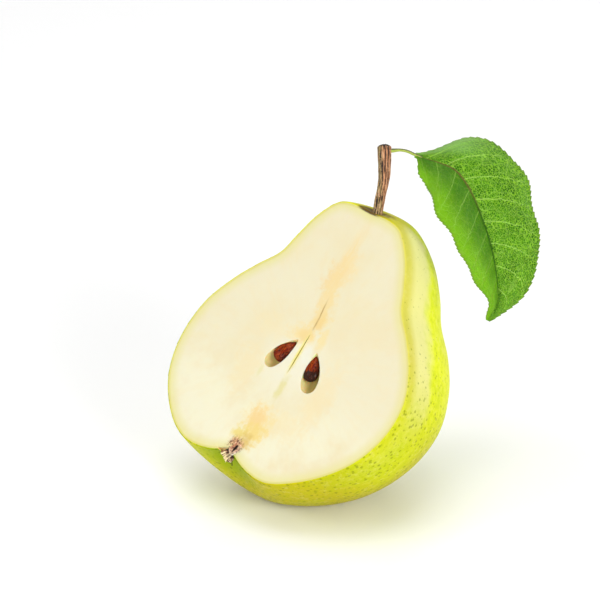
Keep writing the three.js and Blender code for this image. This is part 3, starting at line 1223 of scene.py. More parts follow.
    def _stain(self, graph: Graph, stain: Stain, measures: Measures) -> Socket:
        """How much of one stain there is.

        Args:
            graph: The material's graph.
            stain: The stain.
            measures: The output for each measure.

        Returns:
            The stain's share.
        """
        sides = zip((measures[By.ACROSS], measures[By.HEIGHT]), stain.place, stain.reach)
        offsets = [graph.sum("DIVIDE", graph.minus(side, middle), reach) for side, middle, reach in sides]
        out = graph.hypot(*offsets)
        out = graph.plus(out, graph.swing(measures[By.RAGGED], 2 * stain.ragged))
        return graph.between(out, self.stain_edge.low, self.stain_edge.high, 0.0, stain.share)

    def _vessels(self, graph: Graph, measures: Measures, colour: Socket) -> Socket:
        """Tan streaks down the axis from the stem to the core, and a thin dark line above the slit.

        Args:
            graph: The material's graph.
            measures: The output for each measure.
            colour: The colour so far.

        Returns:
            The new colour.
        """
        wander = graph.swing(measures[By.WANDER], self.axis_wander)
        off_axis = graph.plus(graph.minus(measures[By.ACROSS], graph.share(measures, self.axis)), wander)
        fibres = graph.share(measures, self.fibres)
        streak = graph.peak(off_axis, 0.0, self.upper_width)
        upper = graph.times(streak, graph.peak(measures[By.HEIGHT], self.upper_middle, self.upper_reach))
        colour = graph.mix(graph.times(upper, fibres), colour, self.tan_colour)
        strand = graph.peak(off_axis, self.strand_place, self.strand_width)
        strand = graph.times(strand, graph.share(measures, *self.strand_ends))
        return graph.mix(graph.times(strand, fibres), colour, self.strand_colour)


@dataclass(frozen=True)
class HollowFinish(Finish):
    """The thin tan lining of a seed hollow, with painted shade that darkens it towards its bottom."""

    name: str = "hollow_lining"
    ground: Colour = srgb(226, 212, 152)
    vein_and_shade_colour: Colour = srgb(208, 184, 112)
    grains: Grains = (Grain(By.FIBRE, 1.1, 4.0, 0.6, 0.25),)
    coats: Coats = (
        # Painted shade: darker with depth, down to the bottom of the hollow; the veins take the same colour.
        Coat("depth", vein_and_shade_colour, Ramp(By.DEPTH, 0.0, 3.6)),
        Coat("veins", vein_and_shade_colour, Ramp(By.FIBRE, 0.4, 0.7, 0.0, 0.4)),
    )
    relief: Relief = Relief(By.FIBRE, 0.12, 0.6)
    sheen: Sheen = Sheen(0.6, 0.003)


@dataclass(frozen=True)
class SeedFinish(Finish):
    """A glossy seed coat, red-brown with darker streaks, painted shade along one side and a darker round end.
    """

    ground: Colour = srgb(112, 24, 1)
    dark_colour: Colour = srgb(34, 8, 2)
    grains: Grains = (
        Grain(By.STREAK, 1.2, 4.0, 0.6, 0.3), Grain(By.WRINKLE, 2.6, 5.0, 0.7, 0.5),
    )
    blurs: tuple[Blur, ...] = (Blur(By.FLANK, By.ACROSS, By.STREAK, 2.0),)
    coats: Coats = (
        Coat("warm streaks", srgb(150, 58, 8), Ramp(By.STREAK, 0.4, 0.62)),
        Coat("wrinkles", dark_colour, Ramp(By.WRINKLE, 0.5, 0.6, 0.0, 0.9)),
        # Painted shade: the seed darkens towards one side, for the dark edge where its round side turns away.
        Coat("flank", dark_colour, Ramp(By.FLANK, 0.7, 2.4, 0.0, 0.8)),
    )
    round_end: float = 0.0
    round_colour: Colour = srgb(38, 18, 10)
    round_edge: tuple[float, float] = (1.3, 0.5)
    round_share: float = 0.95
    end_streak: float = 1.5
    tip: Coats = (
        Coat("tip", dark_colour, Ramp(By.ENDS, SEED_LENGTH * 0.95, SEED_LENGTH * 1.12, 0.0, 0.8)),
        Coat("glints", srgb(176, 84, 40), Ramp(By.WRINKLE, 0.4, 0.32, 0.0, 0.6)),
    )
    roughness: Ramp = Ramp(By.STREAK, 0.3, 0.7, 0.35, 0.5)
    relief: Relief = Relief(By.WRINKLE, 0.35)
    sheen: Sheen = Sheen(coat=0.16, coat_roughness=0.14, mirror=0.05)

    def colour(self, graph: Graph, place: Socket, measures: Measures) -> Socket:
        """Lays the coats, and those of the two ends over them.

        Args:
            graph: The material's graph.
            place: The place on the seed, round end at zero and tip up Z.
            measures: The output for each measure.

        Returns:
            The base colour.
        """
        ends = graph.plus(measures[By.HEIGHT], graph.times(measures[By.STREAK], self.end_streak))
        low, high = (self.round_end + edge for edge in self.round_edge)
        end = Coat("round end", self.round_colour, Ramp(By.ENDS, low, high, 0.0, self.round_share))
        colour = super().colour(graph, place, measures)
        return graph.coats(colour, (end, *self.tip), {**measures, By.ENDS: ends})


@dataclass(frozen=True)
class BarkFinish(Finish):
    """Dry ridged bark: pink-brown on the ridges, olive on one flank, dark in the cracks."""

    name: str = "stem_bark"
    ground: Colour = srgb(176, 120, 80)
    crest_colour: Colour = srgb(214, 166, 126)
    crack_colour: Colour = srgb(34, 14, 4)
    layers: tuple[Layer, ...] = (Layer.GROOVE,)
    grains: Grains = (Grain(By.FIBRE, 1.9, 5.0, 0.7, 0.2), Grain(By.SPECK, 2.2, 4.0, 0.7, 0.45))
    coats: Coats = (
        Coat("flank", srgb(144, 124, 74), Ramp(By.ACROSS, 25.4, 24.0)),
        Coat("fibres", srgb(112, 68, 36), Ramp(By.FIBRE, 0.5, 0.58, 0.0, 0.9)),
        Coat("crests", crest_colour, Ramp(By.GROOVE, 0.3, 0.9, 0.0, 0.6)),
        Coat("cracks", crack_colour, Ramp(By.GROOVE, 0.0, -0.55)),
        Coat("dark specks", crack_colour, Ramp(By.SPECK, 0.58, 0.66, 0.0, 0.7)),
        Coat("pale specks", crest_colour, Ramp(By.SPECK, 0.44, 0.36, 0.0, 0.7)),
    )
    roughness: Ramp = Ramp(By.FIBRE, 0.3, 0.7, 0.6, 0.85)
    relief: Relief = Relief(By.FIBRE, 0.3, 0.9)


@dataclass(frozen=True)
class PetioleFinish(Finish):
    """A smooth leaf stalk, yellow-green below and brown-green along its upper side."""

    name: str = "petiole_green"
    ground: Colour = srgb(158, 176, 66)
    layers: tuple[Layer, ...] = (Layer.TONE,)
    grains: Grains = (Grain(By.MOTTLE, 1.4, 4.0),)
    blurs: tuple[Blur, ...] = (Blur(By.FLANK, By.TONE, By.MOTTLE, 0.8),)
    coats: Coats = (Coat("upper side", srgb(80, 84, 26), Ramp(By.FLANK, -0.15, 0.45)),)
    roughness: float = 0.4
    relief: Relief = Relief(By.MOTTLE, 0.05, 0.5)
    sheen: Sheen = Sheen(0.1, 0.001)


@dataclass(frozen=True)
class CalyxFinish(Finish):
    """Dried sepals and fibres: near black at the root, partly painted shade deep in the eye, pink-brown, and
    straw at the tips.
    """

    name: str = "calyx_dry"
    ground: Colour = srgb(44, 22, 8)
    layers: tuple[Layer, ...] = (Layer.TONE,)
    grains: Grains = (Grain(By.FIBRE, 1.6, 5.0, 0.7),)
    blurs: tuple[Blur, ...] = (Blur(By.ENDS, By.TONE, By.FIBRE, 0.9),)
    coats: Coats = (
        Coat("middle", srgb(150, 98, 64), Ramp(By.ENDS, 0.28, 0.52)),
        Coat("straw", srgb(238, 220, 172), Ramp(By.ENDS, 0.5, 0.8)),
    )
    roughness: Ramp = Ramp(By.FIBRE, 0.3, 0.7, 0.7, 0.9)
    relief: Relief = Relief(By.FIBRE, 0.3, 0.8)


@dataclass(frozen=True)
class LeafFinish(Finish):
    """A vivid leaf blade with pale side veins, a fine net between them and a brownish midrib, with painted
    light and shade, mostly on its left half, and a painted highlight by its base.
    """

    name: str = "leaf_green"
    ground: Colour = srgb(58, 116, 2)
    dark_colour: Colour = srgb(36, 90, 1)
    side_colour: Colour = srgb(168, 208, 96)
    # Painted light: the left half of the blade grows lighter towards its margin and its tip, as if it faced
    # the light.
    painted_light_colour: Colour = srgb(118, 178, 14)
    light: tuple[Ramp, Ramp] = (Ramp(By.OUT, 0.3, 1.0), Ramp(By.ALONG, 0.5, 0.95, 0.0, 0.8))
    left_side: Ramp = Ramp(By.ACROSS, 0.02, -0.02)
    left_painted_light: float = 0.75
    cloud: Grain = Grain(By.CLOUD, 0.12, 4.0)
    dark_clouds: Coats = (Coat("dark clouds", dark_colour, Ramp(By.CLOUD, 0.4, 0.65)),)
    net_cells: float = 1.45
    coarse_cells: float = 0.42
    coats: Coats = (
        Coat("net", srgb(126, 178, 40), Ramp(By.FINE, 0.16, 0.02), Ramp(By.LEFT, 0.0, 1.0, 0.85, 0.26)),
        Coat("mesh", side_colour, Ramp(By.COARSE, 0.06, 0.01), Ramp(By.LEFT, 0.0, 1.0, 0.22, 0.14)),
        # Painted shade: darker between the side veins and towards the midrib, where the quilted and folded
        # blade is shaded.
        Coat(
            "quilt", dark_colour, Ramp(By.PHASE, 0.12, 0.42), Ramp(By.LEFT, 0.0, 1.0, 0.12, 0.26),
            Ramp(By.OUT, 0.9, 0.25),
        ),
        Coat("side veins", side_colour, Ramp(By.GAP, 0.02, -0.002), Ramp(By.OUT, 0.98, 0.8), strength=0.4),
        # Painted highlight: a paler lobe on the right half near the base, where the blade curls up into the
        # light.
        Coat("painted lobe highlight", srgb(136, 184, 96), Ramp(By.ALONG, 0.3, 0.12), Ramp(By.ACROSS, 0.2, 0.6, 0.0, 0.6)),
        Coat("edge", srgb(96, 120, 30), Ramp(By.OUT, 0.955, 1.0, 0.0, 0.6)),
    )
    rib_colour: Colour = srgb(100, 88, 44)
    rib_end: Coats = (Coat("rib's end", srgb(40, 84, 6), Ramp(By.ALONG, 0.25, 0.5)),)
    rib: Ramp = Ramp(By.RIB, 0.6, 0.25)
    rib_strength: float = 0.85
    under: Coats = (Coat("under side", srgb(150, 180, 96), Ramp(By.FACE, 0.2, -0.2, 0.0, 0.65)),)
    roughness: Ramp = Ramp(By.CLOUD, 0.3, 0.7, 0.42, 0.55)
    net: Ramp = Ramp(By.FINE, 0.16, 0.02)
    net_depth: float = 0.4
    puffs: Ramp = Ramp(By.FINE, 0.0, 0.3)
    swells: Ramp = Ramp(By.COARSE, 0.0, 0.2)
    relief: Relief = Relief(By.FINE, 0.16, 0.5)
    coarse_relief: Relief = Relief(By.COARSE, 0.2, 0.4)
    vein_width: Ramp = Ramp(By.OUT, 0.0, 1.0, 0.018, 0.002)
    vein_grain: Grain = Grain(By.WANDER, 9.0)
    vein_wander: float = 0.5
    half_turn: Ramp = Ramp(By.ACROSS, -0.01, 0.01, 0.5, 0.0)
    sheen: Sheen = Sheen(0.12, 0.001, mirror=0.1)

    def dress(self, blade: "LeafBlade") -> Material:
        """Builds the material for a blade, which is measured by its own attribute.

        Args:
            blade: The blade, for its width, its length and the run of its veins.

        Returns:
            The new material.
        """
        graph = Graph(self.name)
        where = graph.layer(Layer.BLADE).outputs["Vector"]
        found = dict(zip((By.ACROSS, By.ALONG, By.FACE), graph.apart(where)))
        found[By.OUT] = graph.sum("ABSOLUTE", found[By.ACROSS])
        found[By.LEFT] = graph.share(found, self.left_side)
        flat = graph.stretched(where, (blade.right.half_width, blade.length, 0.0))
        for by, size in ((By.FINE, self.net_cells), (By.COARSE, self.coarse_cells)):
            found[by] = graph.cells(flat, size, "DISTANCE_TO_EDGE").outputs["Distance"]
        found[By.CLOUD] = graph.noise(flat, self.cloud)
        found[By.RIB] = graph.times(found[By.OUT], blade.right.half_width)
        found[By.PHASE] = self._phase(graph, blade, found)
        found[By.GAP] = graph.minus(found[By.PHASE], graph.share(found, self.vein_width))
        # Painted light on the left half, lighter towards the margin and the tip.
        painted_lightness = graph.plus(*(graph.share(found, ramp) for ramp in self.light))
        light = graph.mix(painted_lightness, self.ground, self.painted_light_colour)
        colour = graph.coats(self.ground, self.dark_clouds, found)
        colour = graph.mix(graph.times(found[By.LEFT], self.left_painted_light), colour, light)
        colour = graph.coats(colour, self.coats, found)
        rib_colour = graph.coats(self.rib_colour, self.rib_end, found)
        rib = Coat("rib", rib_colour, self.rib, strength=self.rib_strength)
        colour = graph.coats(colour, (rib, *self.under), found)
        net = graph.times(graph.share(found, self.net), self.net_depth)
        coarse = graph.bump(graph.share(found, self.swells), self.coarse_relief)
        normal = graph.bump(graph.minus(graph.share(found, self.puffs), net), self.relief, coarse)
        return graph.paint(colour, graph.rough(self.roughness, found), normal, self.sheen)

    def _phase(self, graph: Graph, blade: "LeafBlade", measures: Measures) -> Socket:
        """The side veins' phase: they leave the midrib in turn and curve towards the tip.

        Args:
            graph: The material's graph.
            blade: The blade, for the run of its veins.
            measures: The output for each measure.

        Returns:
            A number that is 0 on a vein and 0.5 halfway between two.
        """
        across, along, out = (measures[by] for by in (By.ACROSS, By.ALONG, By.OUT))
        run = graph.minus(along, graph.times(out, blade.vein_rise))
        run = graph.minus(run, graph.times(out, out, blade.vein_curve))
        turn = graph.plus(graph.times(run, float(blade.veins)), graph.share(measures, self.half_turn))
        wander = graph.times(graph.noise(graph.joined(across, along), self.vein_grain), self.vein_wander)
        turn = graph.plus(turn, graph.times(wander, out))
        return graph.sum("ABSOLUTE", graph.minus(graph.sum("FRACT", turn), HALF))


# --- Fruit -------------------------------------------------------------------------------------------
@dataclass
class SeedPlace:
    """A seed and its hollow, with [x, z] places on the knife face."""

    side: Side
    base: tuple[float, float]
    lean: float
    radius: float
    hollow_base: tuple[float, float]
    hollow_tip: tuple[float, float]
    hollow_radius: float

    @property
    def name(self) -> str:
        """The side as a plain word."""
        return self.side.name.lower()


SEED_PLACES = (
    SeedPlace(Side.LEFT, (-3.5, 31.4), 27.0, 2.62, (-4.8, 28.4), (1.1, 39.6), 2.75),
    SeedPlace(Side.RIGHT, (11.4, 30.0), -17.0, 2.48, (13.5, 26.5), (9.3, 38.6), 2.95),
)


@dataclass(frozen=True)
class Eye:
    """Where the dried flower sits: its place in the fruit, and its tilt towards the left."""

    place: Place = (0.9, 0.8, 0.9)
    tilt: float = 30.0

    def matrix(self) -> Matrix:
        """Matrix from the eye's own frame, opening down Z, to the fruit's."""
        return Matrix.Translation(self.place) @ Matrix.Rotation(math.radians(self.tilt), 4, "Y")


TEARDROP = (
    (0, 0), (0.45, 0.03), (0.79, 0.11), (0.96, 0.23), (1, 0.36), (0.9, 0.54), (0.65, 0.72), (0.36, 0.88),
    (0.14, 0.97), (0, 1),
)


def teardrop(radius: float, depth: float, length: float, sides: int, steps: int) -> Mesh:
    """A teardrop with its round end at zero and its tip up Z.

    Args:
        radius: Half its width.
        depth: Half its depth.
        length: Its length.
        sides: Steps round it.
        steps: Steps along it.

    Returns:
        The new mesh.
    """
    mesh = spun(spaced(TEARDROP, steps), sides)
    bmesh.ops.scale(mesh, verts=mesh.verts[:], vec=(radius, depth, length))
    return mesh


def laid_in_face(lean: float, base: Sequence[float], behind: float) -> Matrix:
    """Matrix that leans a shape towards +X and sets its foot down behind the knife face.

    Args:
        lean: The lean in degrees.
        base: The foot's [x, z].
        behind: How far behind the face it is.

    Returns:
        The matrix in the fruit's frame.
    """
    return Matrix.Translation((base[0], behind, base[1])) @ Matrix.Rotation(math.radians(lean), 4, "Y")


@dataclass
class HalfPear:
    """Flesh and skin in one body: the grown fruit cut by the knife, with its hollows and flat spot."""

    laying: Laying
    form: FruitForm
    sides: int = 200
    steps: int = 150
    rim_round: float = 0.35
    rim_step: float = 0.5
    rings: tuple[float, ...] = (0.2, 0.3, 0.5, 0.8, 1.2, 1.6)
    square: float = 5.0
    hollow_depth: float = 1.42
    slit_place: tuple[float, float] = (3.75, 35.9)
    slit_reach: Place = (0.2, 0.5, 6.8)
    eye: Eye = Eye()
    eye_funnel: tuple[tuple[float, float], ...] = (
        (0, -3.4), (4.0, -3.4), (2.3, -1.0), (1.7, -0.2), (1.7, 2.6), (0, 2.8),
    )
    ground_round: float = 0.3
    skin: SkinFinish = SkinFinish()
    flesh: FleshFinish = FleshFinish()
    lining: HollowFinish = HollowFinish()

    SKIN, FLESH, LINING = range(3)

    def half(self) -> Mesh:
        """The half fruit in its own frame, with a rounded rim and rings of faces inside it."""
        mesh = spun(spaced(self.form.outline, self.steps), self.sides)
        for vert in mesh.verts:
            vert.co = self.form.grown(vert.co)
        cut = sliced(mesh, (0, 0, 0), (0, -1, 0), KNIFE_SLACK)
        close = [item for item in cut if isinstance(item, bmesh.types.BMVert)]
        bmesh.ops.remove_doubles(mesh, verts=close, dist=self.rim_step)
        rounded(mesh, capped(mesh, [edge for edge in mesh.edges if edge.is_boundary]), self.rim_round, 3)
        face = max(mesh.faces, key=lambda item: len(item.verts))
        face.material_index = self.FLESH
        for width in self.rings:
            ring = bmesh.ops.inset_region(mesh, faces=[face], thickness=width)
            for item in ring["faces"]:
                item.material_index = self.FLESH
        self._cut_up(mesh)
        bmesh.ops.recalc_face_normals(mesh, faces=mesh.faces[:])
        return mesh

    def _cut_up(self, mesh: Mesh) -> None:
        """Cuts the flesh's one big face into small squares.

        Args:
            mesh: The half fruit, changed in place.
        """
        reach = self.form.height
        for axis, start in ((0, -reach / 2), (2, 0.0)):
            normal = [float(axis == number) for number in range(3)]
            for step in range(int(reach / self.square)):
                place = Vector((0, 0, 0))
                place[axis] = start + (step + HALF) * self.square
                inner = [
                    face for face in mesh.faces if face.material_index == self.FLESH and len(face.verts) > 4
                ]
                edges = dict.fromkeys(edge for face in inner for edge in face.edges)
                verts = dict.fromkeys(vert for face in inner for vert in face.verts)
                bmesh.ops.bisect_plane(
                    mesh, geom=[*verts, *edges, *inner], dist=KNIFE_SLACK, plane_co=place, plane_no=normal
                )

    def find_pivot(self) -> None:
        """Works out the pivot from the CAD node's box, which the laid half has to fill."""
        mesh = self.half()
        bmesh.ops.transform(mesh, matrix=self.laying.fruit(), verts=mesh.verts[:])
        low = [min(vert.co[axis] for vert in mesh.verts) for axis in range(3)]
        high = [max(vert.co[axis] for vert in mesh.verts) for axis in range(3)]
        mesh.free()
        cad_low, cad_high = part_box("pear_half")
        middle = [((cad_low[a] + cad_high[a]) - (low[a] + high[a])) / 2 for a in range(2)]
        self.laying.pivot = Vector((middle[0], middle[1], cad_high.z - high[2]))
        LOG.info("pivot at %s", [round(value / MM, 2) for value in self.laying.pivot])

    def _cutters(self, materials: Sequence[Material]) -> list[Piece]:
        """The shapes of the hollows, the slit and the eye, as objects in the fruit's own frame.

        Args:
            materials: The fruit's materials, which the cuts keep.

        Returns:
            One object for each cut.
        """
        shapes = []
        for seed in SEED_PLACES:
            rise = Vector(seed.hollow_tip) - Vector(seed.hollow_base)
            mesh = teardrop(seed.hollow_radius, seed.hollow_radius * self.hollow_depth, rise.length, 64, 40)
            lean = math.degrees(math.atan2(rise.x, rise.y))
            shapes.append((f"hollow_{seed.name}", mesh, laid_in_face(lean, seed.hollow_base, 0)))
        slit = bmesh.new()
        bmesh.ops.create_uvsphere(slit, u_segments=24, v_segments=32, radius=1)
        bmesh.ops.scale(slit, verts=slit.verts[:], vec=self.slit_reach)
        x, z = self.slit_place
        shapes.append(("slit", slit, Matrix.Translation((x, 0, z))))
        eye = spun([Vector((radius, 0, height)) for radius, height in self.eye_funnel], 48)
        shapes.append(("eye", eye, self.eye.matrix()))
        cutters = []
        for name, mesh, matrix in shapes:
            for face in mesh.faces:
                face.material_index = self.FLESH if name == "slit" else self.LINING
            cutters.append(as_object(name, mesh, matrix, *materials))
        return cutters

    def _lay(self, piece: Piece) -> None:
        """Lays the fruit down, takes the skin off below the ground, and rounds the flat spot's rim.

        Args:
            piece: The carved fruit, still in its own frame.
        """
        with opened(piece) as mesh:
            bmesh.ops.transform(mesh, matrix=self.laying.fruit(), verts=mesh.verts[:])
            cut = sliced(mesh, (0, 0, 0), (0, 0, -1), KNIFE_SLACK * MM)
            rim = [item for item in cut if isinstance(item, bmesh.types.BMEdge)]
            rounded(mesh, capped(mesh, rim), self.ground_round * MM, 2)
            bmesh.ops.recalc_face_normals(mesh, faces=mesh.faces[:])

    def _mark_rim(self, piece: Piece, outline: KDTree) -> None:
        """Keeps each vertex's distance from the skin, in millimetres, in the rim attribute.

        Args:
            piece: The carved fruit, still in its own frame.
            outline: The points where flesh meets skin.
        """
        with opened(piece) as mesh:
            layer = mesh.verts.layers.float.new(Layer.RIM.value)
            for vert in mesh.verts:
                vert[layer] = min(outline.find(vert.co)[2], sum(self.rings))

    def _outline(self, piece: Piece) -> KDTree:
        """Finds the points where flesh meets skin.

        Args:
            piece: The uncut fruit, still in its own frame.

        Returns:
            A tree of the points.
        """
        mesh = bmesh.new()
        mesh.from_mesh(piece.data)
        points = [
            vert.co.copy()
            for vert in mesh.verts
            if {self.SKIN, self.FLESH} <= {face.material_index for face in vert.link_faces}
        ]
        mesh.free()
        tree = KDTree(len(points))
        for number, point in enumerate(points):
            tree.insert(point, number)
        tree.balance()
        return tree

    def build(self) -> None:
        """Builds and dresses the half fruit."""
        fruit = self.laying.fruit()
        materials = [self.skin.make(fruit), self.flesh.make(fruit), self.lining.make(fruit)]
        piece = as_object("pear_half_fruit", self.half(), Matrix.Identity(4), *materials)
        outline = self._outline(piece)
        carve(piece, self._cutters(materials))
        self._mark_rim(piece, outline)
        self._lay(piece)
        shade(piece, 32.0, self.FLESH)
        join_frame(piece, "pear_half", Slot.PEAR)


@dataclass
class Seeds:
    """The two seeds that lie in the hollows of the cut face."""

    laying: Laying
    flatness: float = 0.62
    behind: float = 1.0
    dimple: float = 0.1
    dimples: float = 0.8
    crease: float = 80.0
    finishes: tuple[SeedFinish, SeedFinish] = (
        SeedFinish(round_end=SEED_LENGTH * -0.3), SeedFinish(round_end=SEED_LENGTH * 0.34),
    )

    def build(self) -> None:
        """Builds and dresses both seeds."""
        for seed, finish in zip(SEED_PLACES, self.finishes):
            mesh = teardrop(seed.radius, seed.radius * self.flatness, SEED_LENGTH, 64, 48)
            own = Vector((seed.base[0], 0, 0))
            for vert in mesh.verts:
                vert.co += vert.normal * self.dimple * noise.noise(vert.co * self.dimples + own)
            matrix = self.laying.fruit() @ laid_in_face(seed.lean, seed.base, self.behind)
            role = Role(f"seed_{seed.name}_coat", f"seed_{seed.name}", Slot.SEED, self.crease)
            role.fill(mesh, matrix, finish.make(matrix, f"seed_coat_{seed.name}"))


@dataclass(frozen=True)
class Sepal:
    """One dried sepal: its turn about the eye, how far out and down it goes, its hook and its paleness."""

    turn: float
    reach: float
    drop: float
    hook: float
    tone: float


@dataclass(frozen=True)
class Strand:
    """One dried stamen or hair: its turn about the eye, how far out and down it goes, and its paleness."""

    turn: float
    reach: float
    drop: float
    tone: float


@dataclass
class Calyx:
    """The dried eye: a plug that the knife went through, its narrow canal, curled sepals and stamens."""

    laying: Laying
    eye: Eye = Eye()
    knife_gap: float = 0.05
    plug: tuple[tuple[float, float], ...] = (
        (0, -0.9), (0.9, -0.8), (1.5, -0.4), (1.66, 0.2), (1.66, 2.45), (0.2, 2.75), (0, 2.75),
    )
    canal_round: tuple[float, float] = (-0.45, 2.6)
    canal_tip: tuple[float, float] = (0.3, -0.3)
    canal_radius: float = 0.46
    sepal_width: float = 1.3
    thickness: float = 0.2
    # The sepals' tones alternate, and the darker sepals are partly painted shade for the gaps between them.
    sepals: tuple[Sepal, ...] = (
        Sepal(174, 2.0, 3.7, 0.5, 1.0), Sepal(150, 1.6, 3.6, 0.6, 0.75), Sepal(124, 1.2, 3.8, 0.4, 1.0),
        Sepal(96, 0.9, 3.8, 0.6, 0.8), Sepal(70, 1.0, 3.5, 0.4, 1.0), Sepal(42, 1.4, 3.0, 0.6, 0.75),
        Sepal(12, 2.0, 2.2, 0.4, 1.0),
    )
    strands: int = 14
    # The hairs' low tones make them near black: painted shade, for hairs and sepals that stand in shade at
    # the eye's far wall.
    hairs: tuple[Strand, ...] = (
        Strand(12, 3.4, 2.2, 0.1), Strand(26, 3.2, 2.6, 0.15), Strand(38, 2.8, 2.8, 0.05),
        Strand(60, 2.4, 3.2, 0.2), Strand(84, 1.9, 3.5, 0.1), Strand(160, 2.9, 3.4, 0.3),
    )
    strand_radius: float = 0.13
    finish: CalyxFinish = CalyxFinish()
    tissue: FleshFinish = FleshFinish()
    role: Role = Role("calyx_dried", "calyx", Slot.CALYX, 50.0)

    DRIED, TISSUE = range(2)

    def _sepal(self, sepal: Sepal) -> Mesh:
        """Makes one dried sepal about the eye, cupped, crumpled and hooked at its tip.

        Args:
            sepal: Its place and sizes.

        Returns:
            The new mesh.
        """
        wobble = Vector((sepal.turn, sepal.reach, sepal.drop))
        line = Line([
            (0.9, 0, 0.2), (1.2, 0, -0.35 * sepal.drop), (0.1 + 0.8 * sepal.reach, 0, -0.72 * sepal.drop),
            (sepal.reach, 0, -sepal.drop), (sepal.reach + 0.9 * sepal.hook, 0, 0.7 * sepal.hook - sepal.drop),
        ])

        def place(across: float, along: float, face: float) -> Vector:
            """Gives a point of the sepal.

            Args:
                across: From -1 to 1.
                along: From 0 to 1.
                face: 1 on the inner face and -1 on the outer one.

            Returns:
                The point about the eye.
            """
            direction = line.along(along, 0.06)
            normal = Vector((-direction.z, 0, direction.x)).normalized()
            half = self.sepal_width / 2 * (1 - 0.78 * along**1.5)
            crumple = 0.3 * noise.noise(Vector((along * 4, across * 1.7, 0)) + wobble)
            raised = 0.45 * across**2 * (1 - 0.5 * along) + crumple + face * self.thickness / 2
            side = across * half + 0.3 * along * noise.noise(Vector((0, 0, along * 2)) + wobble)
            return line.at(along) + Vector((0, side, 0)) + normal * raised

        mesh = sheet(8, 24, place)
        layer = mesh.verts.layers.float.new(Layer.TONE.value)
        blade = mesh.verts.layers.float_vector[Layer.BLADE.value]
        for vert in mesh.verts:
            across, along, _ = vert[blade]
            # The tone falls to nothing at the root, which shows the near-black ground: partly the dried
            # colour, partly painted shade deep in the eye.
            vert[layer] = sepal.tone * smoothstep(along, 0.05, 0.7) * (1 - 0.5 * abs(across) ** 3)
        turned = Matrix.Rotation(math.radians(sepal.turn), 3, "Z")
        bmesh.ops.rotate(mesh, verts=mesh.verts[:], cent=(0, 0, 0), matrix=turned)
        return mesh

    def _strand(self, strand: Strand) -> Mesh:
        """Makes one bent stamen or hair about the eye.

        Args:
            strand: Its place and sizes.

        Returns:
            The new mesh.
        """
        angle = math.radians(strand.turn)
        out = Vector((math.cos(angle), math.sin(angle), 0))
        curl = Vector((-out.y, out.x, 0)) * (0.5 * math.sin(strand.turn * 1.7))
        down = Vector((0, 0, -strand.drop))
        line = Line([
            out * 0.3 * strand.reach,
            out * 0.45 * strand.reach + down * 0.5,
            out * 0.8 * strand.reach + down * 0.9 + curl,
            out * strand.reach + down + curl,
        ])
        mesh = bar(8, 12)
        layer = mesh.verts.layers.float.new(Layer.TONE.value)
        mesh.verts.layers.float_vector.new(Layer.BLADE.value)
        for vert in mesh.verts:
            vert[layer] = strand.tone
            radius = self.strand_radius * (1.1 - 0.6 * vert.co.z)
            vert.co.x *= radius
            vert.co.y *= radius
        bend(mesh, line)
        return mesh

    def _stamens(self) -> list[Strand]:
        """The stamens, spread by a rule that never repeats."""
        return [
            Strand(
                8 + 164 * ((number * 0.618) % 1), 0.9 + 1.3 * ((number * 0.73) % 1),
                2.4 + 1.3 * ((number * 0.29) % 1), 0.2 + 0.8 * ((number * 0.53) % 1),
            )
            for number in range(self.strands)
        ]

    def _plug(self, *materials: Material) -> Mesh:
        """The plug, cut by the knife and hollowed by its canal.

        Args:
            *materials: The dried finish and the tissue of the cut.

        Returns:
            The new mesh about the eye.
        """
        mesh = spun(spaced(self.plug, 40), 56)
        face_place = Vector((0, self.knife_gap - self.eye.place[1], 0))
        cut = sliced(mesh, face_place, (0, -1, 0), KNIFE_SLACK)
        rim = [item for item in cut if isinstance(item, bmesh.types.BMEdge)]
        capped(mesh, rim).material_index = self.TISSUE
        bmesh.ops.recalc_face_normals(mesh, faces=mesh.faces[:])
        rise = Vector(self.canal_tip) - Vector(self.canal_round)
        canal = teardrop(self.canal_radius, 2 * self.canal_radius, rise.length, 24, 24)
        lean = Matrix.Rotation(math.atan2(rise.x, rise.y), 4, "Y")
        foot = Matrix.Translation((self.canal_round[0], face_place.y, self.canal_round[1]))
        plug = as_object("plug", mesh, Matrix.Identity(4), *materials)
        carve(plug, [as_object("canal", canal, foot @ lean, *materials)])
        mesh = bmesh.new()
        mesh.from_mesh(plug.data)
        bpy.data.objects.remove(plug)
        tone = mesh.verts.layers.float.new(Layer.TONE.value)
        rim_layer = mesh.verts.layers.float.new(Layer.RIM.value)
        mesh.verts.layers.float_vector.new(Layer.BLADE.value)
        for vert in mesh.verts:
            vert[rim_layer] = 9.0
            vert[tone] = 0.3 + 0.6 * noise.noise(vert.co * 0.9) if vert.co.z < -0.2 else -0.4
        return mesh

    def build(self) -> None:
        """Builds and dresses the calyx, with all that stood before the knife cut away."""
        fruit = self.laying.fruit()
        materials = [self.finish.make(fruit), self.tissue.make(fruit)]
        whole = self._plug(*materials)
        for sepal in self.sepals:
            into(whole, self._sepal(sepal))
        for strand in (*self._stamens(), *self.hairs):
            into(whole, self._strand(strand))
        self.role.fill(whole, fruit @ self.eye.matrix(), *materials)


